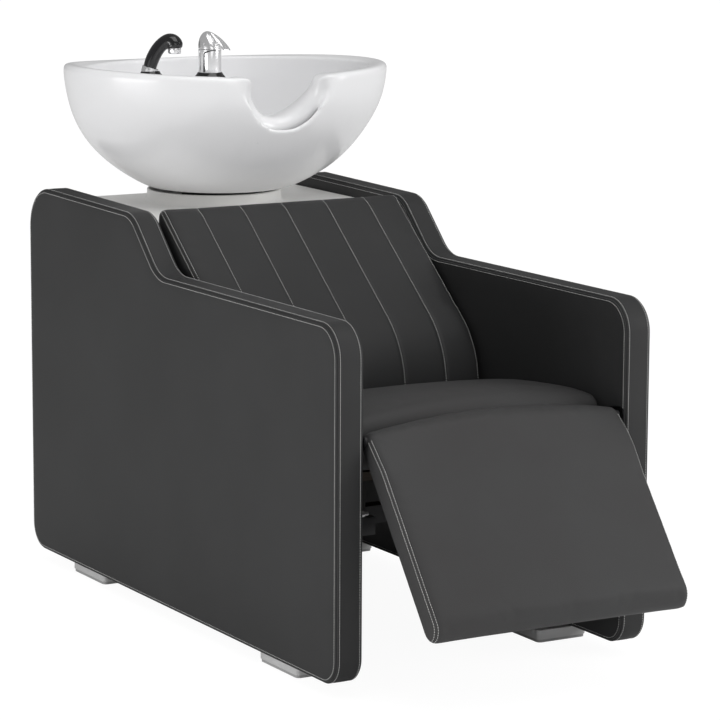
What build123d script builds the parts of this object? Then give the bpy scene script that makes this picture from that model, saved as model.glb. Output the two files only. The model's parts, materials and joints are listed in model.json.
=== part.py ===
"""Salon hair washing bed: upholstered seat between two side panels, hinged legrest and tilting ceramic basin.

X runs across the seat, Y from the legrest back to the basin, Z up from the floor.
The sitter faces -Y, so the right-hand side, which carries the taps, is at -X.
"""

import os
from math import atan2, cos, hypot, radians, sin, tan

from build123d import *

os.makedirs("parts", exist_ok=True)

# Clearances
fit_gap = 0.3
running_gap = 0.05
loose_gap = 1
overrun = 5

# Side panels, outline seen from the side
overall_width = 620
panel_length = 1205
panel_thickness = 53
foot_height = 22.5
arm_front_height = 628.5
arm_rear_height = 624.5
shoulder_height = 725.5
panel_rear_height = 731.5
step_start = 654
step_end = 760
arm_corner_radius = 58
step_foot_radius = 80
step_head_radius = 70
rear_top_radius = 80
rear_bottom_radius = 48
front_bottom_radius = 45
panel_edge_radius = 7
cover_thickness = 6

# Feet
foot_width = 102
foot_length = 136
foot_inset = 16
front_foot_setback = 161
rear_foot_setback = 917
foot_corner_radius = 8
pad_thickness = 5
pad_inset = 1.5

# Basin outline, widths are half widths of the plan ellipse
basin_height = 231.5
foot_ring_rise = 29
rim_half_width = 319
rim_half_depth = 252
rim_setback = 971
foot_ring_radius = 112
foot_ring_setback = 1003
# Rows of height, width, depth and shift as shares from foot ring to rim
basin_shares = (
    (0, 0, 0, 0),
    (0.02, 0.15, 0.19, 0.06),
    (0.11, 0.35, 0.43, 0.25),
    (0.25, 0.575, 0.67, 0.41),
    (0.43, 0.768, 0.85, 0.5),
    (0.62, 0.9, 0.95, 0.72),
    (0.8, 0.976, 0.99, 0.88),
    (1, 1, 1, 1),
)
ceramic_wall = 10
rim_slab = 14
rim_width = 36
rim_fillet = 9
bowl_floor_rise = 25
bowl_floor_radius = 40
# Rows of height, width, depth and shift as shares from bowl floor to rim
bowl_shares = (
    (0, 0, 0, 0),
    (0.06, 0.32, 0.36, 0.15),
    (0.2, 0.57, 0.64, 0.3),
    (0.4, 0.77, 0.83, 0.5),
    (0.65, 0.9, 0.93, 0.75),
    (0.88, 0.975, 0.985, 0.93),
    (1, 1, 1, 1),
)
ring_opening_radius = 70
neck_half_width = 80
neck_drop = 79
neck_roll_radius = 22
neck_roll_lean = 22
neck_roll_setback = 749

# Tap deck and taps
deck_recess = 6
deck_lobe_radius = 150
deck_lobe_side = 235
deck_lobe_setback = 780
deck_lip_width = 18
mixer_side = 123
mixer_setback = 805
mixer_hole_radius = 17
spray_side = 205
spray_setback = 885
spray_hole_radius = 15
tap_heading = -28

# Seat, back and legrest
cushion_gap = 4
seat_setback = 54
seat_front_height = 467
seat_rear_height = 418
seat_crown = 16
seat_top_bulge = 12
seat_side_drop = 9
seat_side_nose_radius = 26
seat_edge_radius = 9
seat_nose_radius = 38
seat_board_top = 367.5
seat_board_thickness = 15
seat_board_inset = 12
back_face_setback = 448.5
back_bend_height = 488.5
back_bend_radius = 165
back_slope = 38.4
back_rear_setback = 782
back_top_radius = 18
back_depth = 65
back_edge_radius = 8
channel_count = 5
channel_pitch = 87.5
channel_width = 3
channel_depth = 2.5
back_board_thickness = 12
leg_pivot_setback = 15
leg_pivot_height = 430.5
leg_rest_angle = 52.5
leg_length = 368
leg_half_thickness = 25
leg_crown = 20
leg_side_end = 12
leg_shoulder = 70
leg_end_crown = 8
leg_side_gap = 5
leg_toe_radius = 30
leg_heel_radius = 15
leg_board_thickness = 24
leg_board_inset = 12
leg_edge_radius = 4
pivot_stud_radius = 6
bush_wall = 2
bush_length = 24
bracket_thickness = 3
bracket_eye_radius = 14
bracket_length = 95
bracket_height = 40
bracket_screw_shares = (0.55, 0.85)
washer_radius = 11
washer_thickness = 1.4

# Steel frame
rail_width = 40
rail_height = 30
rail_top = 298.5
tube_wall = 2
rail_front_setback = 34
rail_rear_setback = 1130
front_tube_setback = 120
middle_tube_setback = 470
stand_front_setback = 915
stand_rear_setback = 1095
bolt_radius = 4
bolt_head_radius = 7
bolt_head_height = 5
bolt_grip = 32
rail_bolt_count = 4
plug_thickness = 2
plug_depth = 12
stud_radius = 5.5
stud_tip_radius = 3
stud_shoulder = 17.5
stud_length = 26
stud_setback = 33
stud_shank = 26

# Basin stand and tilt hinge
stand_plate_drop = 26
plate_thickness = 6
stand_plate_width = 220
stand_plate_margin = 15
stand_hole_radius = 58
stand_leg_side = 90
tilt_pin_radius = 5
tilt_pin_rise = 7.5
tilt_pin_setback = 930
tilt_lug_radius = 9
tilt_lug_side = 32
tilt_pin_overhang = 4
stand_lug_side = 40
tilt_plate_radius = 85
gasket_thickness = 3
gasket_width = 13
buffer_radius = 12
buffer_side = 35
buffer_setback = 1070

# Waste fitting
waste_radius = 22
waste_wall = 2
waste_flange_radius = 36
waste_flange_thickness = 3
waste_length = 138.5
waste_nut_radius = 36
waste_nut_height = 10
strainer_thickness = 2
strainer_hole_radius = 2.5
strainer_ring_radius = 11
strainer_hole_count = 8

# Mixer tap, a lever on a spindle in a flared ring
mixer_ring_radius = 29
mixer_ring_top_radius = 22.5
mixer_ring_height = 12
mixer_radius = 21
mixer_height = 55
mixer_seat_depth = 3
mixer_shank_radius = 13
mixer_shank_length = 40
tap_nut_radius = 24
tap_nut_height = 8
spindle_radius = 6
spindle_depth = 20
spindle_plate_radius = 13
spindle_plate_thickness = 3
lever_gap = 1.5
lever_height = 31
lever_tip_reach = 34
lever_tip_radius = 5
lever_tip_height = 5
lever_wall = 3
lever_heel_rise = 4
lever_front_share = 0.78
lever_rear_share = 0.55
lever_pin_offset = 10
lever_pin_height = 8
lever_pin_radius = 2
lever_lug_radius = 4
lever_lug_width = 8

# Hand spray, standing in a leaning socket
spray_flange_radius = 24
spray_flange_top_radius = 17
spray_flange_height = 7
spray_socket_radius = 14.5
spray_socket_length = 26
spray_offset = 3
spray_lean = 16
spray_stem_radius = 5
spray_stem_length = 22
spray_collar_radius = 15
spray_collar_height = 11
spray_grip_radius = 13.8
spray_bow_radius = 86
spray_bow_angle = 30
spray_bend_radius = 17
spray_bend_angle = 124
spray_nozzle_radius = 11.5
spray_nozzle_height = 9

# White cover, cleats and rear panel
cover_drop = 27
shell_thickness = 3
cover_rear_setback = 1180
cover_flange = 20
cover_corner_radius = 6
collar_radius = 129
collar_rise = 23
collar_setback = 1027
collar_wall = 6
collar_fillet = 8
cleat_size = 20
rear_panel_thickness = 12
rear_panel_bottom = 60
small_screw_radius = 2.5
small_head_radius = 5
small_head_height = 3
small_screw_length = 30
rear_screw_inset = 40

# Derived lines that several pieces share
half_width = overall_width / 2
inner_face = half_width - panel_thickness
leg_half_width = inner_face - leg_side_gap
cushion_half_width = inner_face - cushion_gap
lean = radians(leg_rest_angle)
leg_reach = (
    (leg_length - leg_toe_radius) * cos(lean)
    + (leg_half_thickness + leg_end_crown - leg_toe_radius) * sin(lean)
    + leg_toe_radius
    - leg_pivot_setback
)
front = (leg_reach - rim_setback - rim_half_depth) / 2
seat_board_bottom = seat_board_top - seat_board_thickness
seat_bottom = seat_board_top + fit_gap
back_bottom_rear = back_face_setback + back_depth
rail_middle = rail_top - rail_height / 2
rail_inner = inner_face - rail_width
foot_outer = half_width - foot_inset
foot_inner = foot_outer - foot_width
foot_side = (foot_inner + foot_outer) / 2
cover_top = panel_rear_height - cover_drop
collar_top = cover_top + collar_rise
stand_plate_top = cover_top - stand_plate_drop
tilt_pin_height = cover_top + tilt_pin_rise
foot_ring_height = cover_top + foot_ring_rise
bowl_floor_height = foot_ring_height + bowl_floor_rise
waste_bottom = bowl_floor_height - waste_length
rim_height = foot_ring_height + basin_height
tilt_plate_top = foot_ring_height - gasket_thickness
tilt_plate_bottom = tilt_plate_top - plate_thickness
deck_height = rim_height - deck_recess
stand_middle = (stand_front_setback + stand_rear_setback) / 2
sides = (("left", 1), ("right", -1))
foot_setbacks = (("front", front_foot_setback), ("rear", rear_foot_setback))

rail_bolt_pitch = (rail_rear_setback - rail_front_setback) / rail_bolt_count
rail_bolt_places = [
    front + rail_front_setback + rail_bolt_pitch * (index + 0.5)
    for index in range(rail_bolt_count)
]
foot_screw_side = (foot_outer + inner_face + cover_thickness) / 2
foot_screw_places = [
    front + setback + foot_length / 2 + way * foot_length / 3
    for _, setback in foot_setbacks
    for way in (-1, 1)
]
bracket_screw_places = [
    (front + leg_pivot_setback + bracket_length * share, leg_pivot_height - bracket_height / 2)
    for share in bracket_screw_shares
]


def panel_outline(inset):
    """Closed outline of a side panel, drawn in by inset on every edge but the bottom."""
    slope = atan2(shoulder_height - arm_rear_height, step_end - step_start)
    drift = inset * tan(slope / 2)
    return FilletPolyline(
        (front + inset, foot_height),
        (front + inset, arm_front_height - inset),
        (front + step_start + drift, arm_rear_height - inset),
        (front + step_end + drift, shoulder_height - inset),
        (front + panel_length - inset, panel_rear_height - inset),
        (front + panel_length - inset, foot_height),
        close=True,
        radius=[
            front_bottom_radius - inset,
            arm_corner_radius - inset,
            step_foot_radius + inset,
            step_head_radius - inset,
            rear_top_radius - inset,
            rear_bottom_radius - inset,
        ],
    )


def side_holes(places, radius, start, depth, way):
    """Round cuts that run outwards into one side panel, at places along and above the floor."""
    with BuildSketch(Plane.YZ.offset(way * start)) as holes:
        with Locations(*places):
            Circle(radius)
    extrude(holes.sketch, amount=way * depth, mode=Mode.SUBTRACT)


rail_bolt_marks = [(place, rail_middle) for place in rail_bolt_places]
stud_mark = [(front + stud_setback, rail_top + stud_radius + loose_gap)]

for side, way in sides:
    # Board core, with pilot holes for the screws, bolts and stop stud
    with BuildPart() as panel_core:
        with BuildSketch(Plane.YZ.offset(way * (inner_face + cover_thickness + fit_gap))):
            with BuildLine():
                panel_outline(cover_thickness + fit_gap)
            make_face()
        extrude(amount=way * (panel_thickness - 2 * (cover_thickness + fit_gap)))
        for place in foot_screw_places:
            with BuildSketch(Plane.XY.offset(foot_height)):
                with Locations((way * foot_screw_side, place)):
                    Circle(bolt_radius + running_gap)
            extrude(amount=bolt_grip, mode=Mode.SUBTRACT)
        side_holes(rail_bolt_marks, bolt_radius + running_gap, inner_face, bolt_grip, way)
        side_holes(bracket_screw_places, small_screw_radius + running_gap, inner_face, bolt_grip, way)
        side_holes(stud_mark, stud_tip_radius + running_gap, inner_face, bolt_grip, way)
    panel_core.part.label = f"{side}_panel_core"
    export_step(panel_core.part, f"parts/{side}_panel_core.step")

    # Padded leatherette sleeve, open underneath where it is stapled to the core
    with BuildPart() as panel_cover:
        with BuildSketch(Plane.YZ.offset(way * inner_face)):
            with BuildLine():
                panel_outline(0)
            make_face()
        extrude(amount=way * panel_thickness)
        seams = panel_cover.edges().filter_by(lambda edge: edge.bounding_box().size.X < fit_gap)
        fillet(seams, panel_edge_radius)
        with BuildSketch(Plane.YZ.offset(way * (inner_face + cover_thickness))):
            with BuildLine():
                panel_outline(cover_thickness)
            make_face()
        extrude(amount=way * (panel_thickness - 2 * cover_thickness), mode=Mode.SUBTRACT)
        through = cover_thickness + 2 * overrun
        side_holes(rail_bolt_marks, bolt_radius + running_gap, inner_face - overrun, through, way)
        side_holes(
            bracket_screw_places, small_screw_radius + running_gap, inner_face - overrun, through, way
        )
        side_holes(stud_mark, stud_tip_radius + running_gap, inner_face - overrun, through, way)
    panel_cover.part.label = f"{side}_panel_cover"
    export_step(panel_cover.part, f"parts/{side}_panel_cover.step")

    # Feet: a metal block under each end of the panel, standing inwards for stability
    for end, setback in foot_setbacks:
        middle = front + setback + foot_length / 2
        with BuildPart() as foot:
            with BuildSketch(Plane.XY.offset(pad_thickness)):
                with Locations((way * foot_side, middle)):
                    RectangleRounded(foot_width, foot_length, foot_corner_radius)
            extrude(amount=foot_height - pad_thickness)
            with Locations(
                (way * foot_screw_side, middle - foot_length / 3, pad_thickness),
                (way * foot_screw_side, middle + foot_length / 3, pad_thickness),
            ):
                Cylinder(bolt_head_radius + fit_gap, 2 * bolt_head_height, mode=Mode.SUBTRACT)
                Cylinder(bolt_radius + running_gap, 2 * foot_height, mode=Mode.SUBTRACT)
        foot.part.label = f"{end}_{side}_foot"
        export_step(foot.part, f"parts/{end}_{side}_foot.step")

with BuildPart() as foot_pads:
    for _, way in sides:
        for _, setback in foot_setbacks:
            with BuildSketch(Plane.XY):
                with Locations((way * foot_side, front + setback + foot_length / 2)):
                    RectangleRounded(
                        foot_width - 2 * pad_inset, foot_length - 2 * pad_inset, foot_corner_radius
                    )
            extrude(amount=pad_thickness)
foot_pads.part.label = "foot_pads"
export_step(foot_pads.part, "parts/foot_pads.step")

with BuildPart() as foot_screws:
    for _, way in sides:
        for place in foot_screw_places:
            with BuildSketch(Plane.XY.offset(pad_thickness)):
                with Locations((way * foot_screw_side, place)):
                    Circle(bolt_head_radius)
            extrude(amount=bolt_head_height)
            with BuildSketch(Plane.XY.offset(pad_thickness)):
                with Locations((way * foot_screw_side, place)):
                    Circle(bolt_radius)
            extrude(amount=foot_height - pad_thickness + bolt_grip - loose_gap)
foot_screws.part.label = "foot_screws"
export_step(foot_screws.part, "parts/foot_screws.step")

# Steel frame: side rails bolted to the panels, with plugged ends and four cross tubes
for side, way in sides:
    with BuildPart() as side_rail:
        with BuildSketch(Plane.XZ.offset(-(front + rail_front_setback))):
            with Locations((way * (rail_inner + rail_width / 2), rail_middle)):
                Rectangle(rail_width, rail_height)
                Rectangle(rail_width - 2 * tube_wall, rail_height - 2 * tube_wall, mode=Mode.SUBTRACT)
        extrude(amount=-(rail_rear_setback - rail_front_setback))
        side_holes(rail_bolt_marks, bolt_radius + running_gap, rail_inner - overrun, 2 * rail_width, way)
    side_rail.part.label = f"{side}_side_rail"
    export_step(side_rail.part, f"parts/{side}_side_rail.step")

with BuildPart() as rail_plugs:
    for _, way in sides:
        for setback, run in ((rail_front_setback, -1), (rail_rear_setback, 1)):
            with BuildSketch(Plane.XZ.offset(-(front + setback))):
                with Locations((way * (rail_inner + rail_width / 2), rail_middle)):
                    Rectangle(rail_width, rail_height)
            extrude(amount=-run * plug_thickness)
            with BuildSketch(Plane.XZ.offset(-(front + setback))):
                with Locations((way * (rail_inner + rail_width / 2), rail_middle)):
                    Rectangle(
                        rail_width - 2 * (tube_wall + fit_gap), rail_height - 2 * (tube_wall + fit_gap)
                    )
            extrude(amount=run * plug_depth)
rail_plugs.part.label = "rail_plugs"
export_step(rail_plugs.part, "parts/rail_plugs.step")

cross_tubes = (
    ("front_cross_tube", front_tube_setback),
    ("middle_cross_tube", middle_tube_setback),
    ("stand_front_tube", stand_front_setback),
    ("stand_rear_tube", stand_rear_setback),
)
for name, setback in cross_tubes:
    with BuildPart() as cross_tube:
        with BuildSketch(Plane.YZ.offset(-rail_inner)):
            with Locations((front + setback, rail_middle)):
                Rectangle(rail_height, rail_height)
                Rectangle(rail_height - 2 * tube_wall, rail_height - 2 * tube_wall, mode=Mode.SUBTRACT)
        extrude(amount=2 * rail_inner)
    cross_tube.part.label = name
    export_step(cross_tube.part, f"parts/{name}.step")

with BuildPart() as rail_bolts:
    for _, way in sides:
        with BuildSketch(Plane.YZ.offset(way * rail_inner)):
            with Locations(*rail_bolt_marks):
                Circle(bolt_head_radius)
        extrude(amount=-way * bolt_head_height)
        with BuildSketch(Plane.YZ.offset(way * rail_inner)):
            with Locations(*rail_bolt_marks):
                Circle(bolt_radius)
        extrude(amount=way * (rail_width + bolt_grip - loose_gap))
rail_bolts.part.label = "rail_bolts"
export_step(rail_bolts.part, "parts/rail_bolts.step")

# Stop stud that the hanging legrest comes down on, screwed into each panel
with BuildPart() as stop_studs:
    for _, way in sides:
        for radius, start, end in (
            (stud_radius, inner_face, inner_face - stud_shoulder),
            (stud_tip_radius, inner_face + stud_shank, inner_face - stud_length),
        ):
            with BuildSketch(Plane.YZ.offset(way * start)):
                with Locations(*stud_mark):
                    Circle(radius)
            extrude(amount=way * (end - start))
stop_studs.part.label = "stop_studs"
export_step(stop_studs.part, "parts/stop_studs.step")

# Seat: wooden bearers on the rails, board and crowned cushion
board_front = front + seat_setback + seat_board_inset
board_rear = front + back_bottom_rear
for side, way in sides:
    with BuildPart() as seat_bearer:
        with BuildSketch(Plane.YZ.offset(way * rail_inner)):
            with Locations(((board_front + board_rear) / 2, (rail_top + seat_board_bottom) / 2)):
                Rectangle(board_rear - board_front, seat_board_bottom - rail_top)
        extrude(amount=way * rail_width)
    seat_bearer.part.label = f"{side}_seat_bearer"
    export_step(seat_bearer.part, f"parts/{side}_seat_bearer.step")

with BuildPart() as seat_board:
    with BuildSketch(Plane.XY.offset(seat_board_bottom)):
        with Locations((0, (board_front + board_rear) / 2)):
            Rectangle(2 * cushion_half_width, board_rear - board_front)
    extrude(amount=seat_board_thickness)
seat_board.part.label = "seat_board"
export_step(seat_board.part, "parts/seat_board.step")


def seat_section(across, crown, nose):
    """Side view of the seat cushion at one place across its width, with its rise and nose radius there."""
    near = front + seat_setback
    far = front + back_face_setback - fit_gap
    nose_top = seat_front_height + crown
    nose_end = near + nose
    corner = nose * (1 - cos(radians(45)))
    with BuildSketch(Plane.YZ.offset(across)) as section:
        with BuildLine():
            Line((near, nose_top - nose), (near, seat_bottom))
            Line((near, seat_bottom), (far, seat_bottom))
            Line((far, seat_bottom), (far, seat_rear_height))
            ThreePointArc(
                (far, seat_rear_height),
                ((far + nose_end) / 2, (nose_top + seat_rear_height) / 2 + seat_top_bulge),
                (nose_end, nose_top),
            )
            ThreePointArc(
                (nose_end, nose_top),
                (near + corner, nose_top - corner),
                (near, nose_top - nose),
            )
        make_face()
    return section.sketch


with BuildPart() as seat_cushion:
    loft(
        [
            seat_section(-cushion_half_width, -seat_side_drop, seat_side_nose_radius),
            seat_section(0, seat_crown, seat_nose_radius),
            seat_section(cushion_half_width, -seat_side_drop, seat_side_nose_radius),
        ]
    )
    side_faces = seat_cushion.faces().filter_by(Axis.X)
    fillet(side_faces.edges().group_by(Axis.Z)[-1], seat_edge_radius)
seat_cushion.part.label = "seat_cushion"
export_step(seat_cushion.part, "parts/seat_cushion.step")

# Back: board on sloping bearers, cushion with sewn channels
slope = radians(back_slope)


def slope_point(along, depth, beyond=0):
    """Point at a setback on the line depth behind the sloping face, moved beyond it at right angles."""
    height = back_bend_height + (along - back_face_setback) * tan(slope) - depth / cos(slope)
    return (front + along + beyond * sin(slope), height - beyond * cos(slope))


def slope_strip(start, end, depth, thickness):
    """Flat strip parallel to the sloping face."""
    return Polyline(
        slope_point(start, depth),
        slope_point(end, depth),
        slope_point(end, depth, thickness),
        slope_point(start, depth, thickness),
        close=True,
    )


board_start = back_bottom_rear + back_board_thickness
board_end = back_rear_setback - back_board_thickness
board_depth = back_depth + fit_gap
with BuildPart() as back_board:
    with BuildSketch(Plane.YZ.offset(-cushion_half_width)):
        with BuildLine():
            slope_strip(board_start, board_end, board_depth, back_board_thickness)
        make_face()
    extrude(amount=2 * cushion_half_width)
back_board.part.label = "back_board"
export_step(back_board.part, "parts/back_board.step")

for side, way in sides:
    with BuildPart() as back_bearer:
        with BuildSketch(Plane.YZ.offset(way * inner_face)):
            with BuildLine():
                slope_strip(board_start, board_end, board_depth + back_board_thickness, cleat_size)
            make_face()
        extrude(amount=-way * cleat_size)
    back_bearer.part.label = f"{side}_back_bearer"
    export_step(back_bearer.part, f"parts/{side}_back_bearer.step")

with BuildPart() as back_cushion:
    with BuildSketch(Plane.YZ.offset(-cushion_half_width)):
        with BuildLine():
            FilletPolyline(
                (front + back_face_setback, seat_bottom),
                slope_point(back_face_setback, 0),
                slope_point(back_rear_setback, 0),
                slope_point(back_rear_setback, back_depth),
                slope_point(back_bottom_rear, back_depth),
                (front + back_bottom_rear, seat_bottom),
                close=True,
                radius=[0, back_bend_radius, back_top_radius, 0, 0, 0],
            )
        make_face()
    extrude(amount=2 * cushion_half_width)
    fillet(
        back_cushion.faces().filter_by(Axis.X).edges().filter_by(
            lambda edge: edge.center().Y < front + back_bottom_rear + back_depth
            and edge.center().Z > seat_bottom + overrun
            and edge.geom_type == GeomType.CIRCLE
            or edge.center().Z > slope_point(back_rear_setback, back_depth)[1] - back_depth
            and edge.center().Y < front + back_rear_setback - back_top_radius
        ),
        back_edge_radius,
    )
    for index in range(channel_count):
        across = (index - (channel_count - 1) / 2) * channel_pitch
        with BuildSketch(Plane.YZ.offset(across - channel_width / 2)):
            with BuildLine():
                FilletPolyline(
                    (front + back_face_setback - overrun, seat_bottom),
                    slope_point(back_face_setback - overrun, -overrun),
                    slope_point(back_rear_setback + overrun, -overrun),
                    slope_point(back_rear_setback + overrun, channel_depth),
                    slope_point(back_face_setback + channel_depth, channel_depth),
                    (front + back_face_setback + channel_depth, seat_bottom),
                    close=True,
                    radius=[0, back_bend_radius + overrun, 0, 0, back_bend_radius - channel_depth, 0],
                )
            make_face()
        extrude(amount=channel_width, mode=Mode.SUBTRACT)
back_cushion.part.label = "back_cushion"
export_step(back_cushion.part, "parts/back_cushion.step")


# Legrest: board inside a crowned cushion, turning on two studs at its top end
def leg_point(along, above):
    """Point of the legrest's side view, along it from the pivot and above its middle plane."""
    return (
        front + leg_pivot_setback - along * cos(lean) - above * sin(lean),
        leg_pivot_height - along * sin(lean) + above * cos(lean),
    )


def leg_outline(top, under, face, toe_top, toe, heel, length):
    """Legrest outline from its thickness at the round top end, at the shoulder and at the toe."""
    middle = (top - under) / 2
    round_end = (top + under) / 2
    bend = cos(radians(45))
    Line(leg_point(0, -under), leg_point(length - heel, -under))
    ThreePointArc(
        leg_point(length - heel, -under),
        leg_point(length - heel + heel * bend, heel - under - heel * bend),
        leg_point(length, heel - under),
    )
    Line(leg_point(length, heel - under), leg_point(length, toe_top - toe))
    ThreePointArc(
        leg_point(length, toe_top - toe),
        leg_point(length - toe + toe * bend, toe_top - toe + toe * bend),
        leg_point(length - toe, toe_top),
    )
    Line(leg_point(length - toe, toe_top), leg_point(leg_shoulder, face))
    Bezier(
        leg_point(leg_shoulder, face),
        leg_point(leg_shoulder / 2, (face + max(top, face)) / 2),
        leg_point(0, top),
    )
    ThreePointArc(
        leg_point(0, top),
        leg_point(-round_end * bend, middle + round_end * bend),
        leg_point(-round_end, middle),
    )
    ThreePointArc(
        leg_point(-round_end, middle),
        leg_point(-round_end * bend, middle - round_end * bend),
        leg_point(0, -under),
    )


def leg_board_outline(gap):
    half = leg_board_thickness / 2 + gap
    corner = leg_board_thickness / 4
    leg_outline(half, half, half, half, corner, corner, leg_length - leg_board_inset + gap)


leg_board_half_width = leg_half_width - leg_board_inset
leg_pivot = [(front + leg_pivot_setback, leg_pivot_height)]
bush_radius = pivot_stud_radius + bush_wall

with BuildPart() as legrest_board:
    with BuildSketch(Plane.YZ.offset(-leg_board_half_width)):
        with BuildLine():
            leg_board_outline(0)
        make_face()
    extrude(amount=2 * leg_board_half_width)
    for _, way in sides:
        side_holes(leg_pivot, bush_radius, leg_half_width - bush_length, bush_length, way)
legrest_board.part.label = "legrest_board"
export_step(legrest_board.part, "parts/legrest_board.step")

with BuildPart() as legrest_cushion:
    fall = (leg_crown - leg_end_crown) * leg_shoulder / (leg_length - leg_toe_radius)
    for across, top, face_crown, end_crown in (
        (-leg_half_width, leg_side_end, 0, 0),
        (0, leg_half_thickness + leg_crown, leg_crown - fall, leg_end_crown),
        (leg_half_width, leg_side_end, 0, 0),
    ):
        with BuildSketch(Plane.YZ.offset(across)):
            with BuildLine():
                leg_outline(
                    top,
                    leg_half_thickness,
                    leg_half_thickness + face_crown,
                    leg_half_thickness + end_crown,
                    leg_toe_radius,
                    leg_heel_radius,
                    leg_length,
                )
            make_face()
    loft()
    fillet(legrest_cushion.faces().filter_by(Axis.X).edges(), leg_edge_radius)
    with BuildSketch(Plane.YZ.offset(-leg_board_half_width - fit_gap)):
        with BuildLine():
            leg_board_outline(fit_gap)
        make_face()
    extrude(amount=2 * (leg_board_half_width + fit_gap), mode=Mode.SUBTRACT)
    for _, way in sides:
        side_holes(leg_pivot, bush_radius, leg_board_half_width, 2 * leg_board_inset, way)
legrest_cushion.part.label = "legrest_cushion"
export_step(legrest_cushion.part, "parts/legrest_cushion.step")

with BuildPart() as leg_bushes:
    for _, way in sides:
        with BuildSketch(Plane.YZ.offset(way * leg_half_width)):
            with Locations(*leg_pivot):
                Circle(bush_radius)
                Circle(pivot_stud_radius + running_gap, mode=Mode.SUBTRACT)
        extrude(amount=-way * bush_length)
leg_bushes.part.label = "leg_bushes"
export_step(leg_bushes.part, "parts/leg_bushes.step")

for side, way in sides:
    with BuildPart() as leg_bracket:
        with BuildSketch(Plane.YZ.offset(way * inner_face)):
            with Locations(*leg_pivot):
                Circle(bracket_eye_radius)
            with Locations(
                (
                    front + leg_pivot_setback + bracket_length / 2 + bracket_eye_radius / 2,
                    leg_pivot_height - bracket_height / 2,
                )
            ):
                RectangleRounded(
                    bracket_length - bracket_eye_radius, bracket_height, bracket_eye_radius / 2
                )
            make_hull()
            with Locations(*leg_pivot):
                Circle(pivot_stud_radius, mode=Mode.SUBTRACT)
            with Locations(*bracket_screw_places):
                Circle(small_screw_radius, mode=Mode.SUBTRACT)
        extrude(amount=-way * bracket_thickness)
        for place in bracket_screw_places:
            with BuildSketch(Plane.YZ.offset(way * (inner_face - bracket_thickness))):
                with Locations(place):
                    Circle(small_head_radius)
            with BuildSketch(Plane.YZ.offset(way * inner_face)):
                with Locations(place):
                    Circle(small_screw_radius)
            loft(mode=Mode.SUBTRACT)
    leg_bracket.part.label = f"{side}_leg_bracket"
    export_step(leg_bracket.part, f"parts/{side}_leg_bracket.step")

with BuildPart() as bracket_screws:
    for _, way in sides:
        for place in bracket_screw_places:
            with BuildSketch(Plane.YZ.offset(way * (inner_face - bracket_thickness))):
                with Locations(place):
                    Circle(small_head_radius)
            with BuildSketch(Plane.YZ.offset(way * inner_face)):
                with Locations(place):
                    Circle(small_screw_radius)
            loft()
            with BuildSketch(Plane.YZ.offset(way * inner_face)):
                with Locations(place):
                    Circle(small_screw_radius)
            extrude(amount=way * (bolt_grip - loose_gap))
bracket_screws.part.label = "bracket_screws"
export_step(bracket_screws.part, "parts/bracket_screws.step")

with BuildPart() as pivot_studs:
    for _, way in sides:
        with BuildSketch(Plane.YZ.offset(way * inner_face)):
            with Locations(*leg_pivot):
                Circle(pivot_stud_radius)
        extrude(amount=-way * (leg_side_gap + bush_length - loose_gap))
pivot_studs.part.label = "pivot_studs"
export_step(pivot_studs.part, "parts/pivot_studs.step")

with BuildPart() as pivot_washers:
    for _, way in sides:
        with BuildSketch(Plane.YZ.offset(way * (leg_half_width + fit_gap))):
            with Locations(*leg_pivot):
                Circle(washer_radius)
                Circle(pivot_stud_radius + running_gap, mode=Mode.SUBTRACT)
        extrude(amount=way * washer_thickness)
pivot_washers.part.label = "pivot_washers"
export_step(pivot_washers.part, "parts/pivot_washers.step")

# White cover with its collar, on cleats between the panels
cover_half_width = inner_face - 2 * fit_gap
cover_front_setback = back_rear_setback + loose_gap
cover_length = cover_rear_setback - cover_front_setback
cover_middle = front + cover_front_setback + cover_length / 2
with BuildPart() as top_cover:
    with BuildSketch(Plane.XY.offset(cover_top - cover_flange)):
        with Locations((0, cover_middle)):
            Rectangle(2 * cover_half_width, cover_length)
    extrude(amount=cover_flange)
    fillet(top_cover.edges().group_by(Axis.Z)[-1], cover_corner_radius)
    with BuildSketch(Plane.XY.offset(cover_top - cover_flange)):
        with Locations((0, cover_middle)):
            Rectangle(2 * (cover_half_width - shell_thickness), cover_length - 2 * shell_thickness)
    extrude(amount=cover_flange - shell_thickness, mode=Mode.SUBTRACT)
    with BuildSketch(Plane.YZ):
        with BuildLine():
            base = cover_top - shell_thickness
            near = front + collar_setback + collar_radius - collar_wall
            middle = front + collar_setback + collar_radius - collar_wall / 2
            outer = front + collar_setback + collar_radius
            bend = collar_fillet * (1 - cos(radians(45)))
            Line((near, base), (near, collar_top - collar_wall / 2))
            ThreePointArc(
                (near, collar_top - collar_wall / 2),
                (middle, collar_top),
                (outer, collar_top - collar_wall / 2),
            )
            Line((outer, collar_top - collar_wall / 2), (outer, cover_top + collar_fillet))
            ThreePointArc(
                (outer, cover_top + collar_fillet),
                (outer + bend, cover_top + bend),
                (outer + collar_fillet, cover_top),
            )
            Line((outer + collar_fillet, cover_top), (outer + collar_fillet, base))
            Line((outer + collar_fillet, base), (near, base))
        make_face()
    revolve(axis=Axis((0, front + collar_setback, 0), (0, 0, 1)))
    with BuildSketch(Plane.XY.offset(cover_top - cover_flange)):
        with Locations((0, front + collar_setback)):
            Circle(collar_radius - collar_wall)
    extrude(amount=cover_flange, mode=Mode.SUBTRACT)
top_cover.part.label = "top_cover"
export_step(top_cover.part, "parts/top_cover.step")

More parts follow.
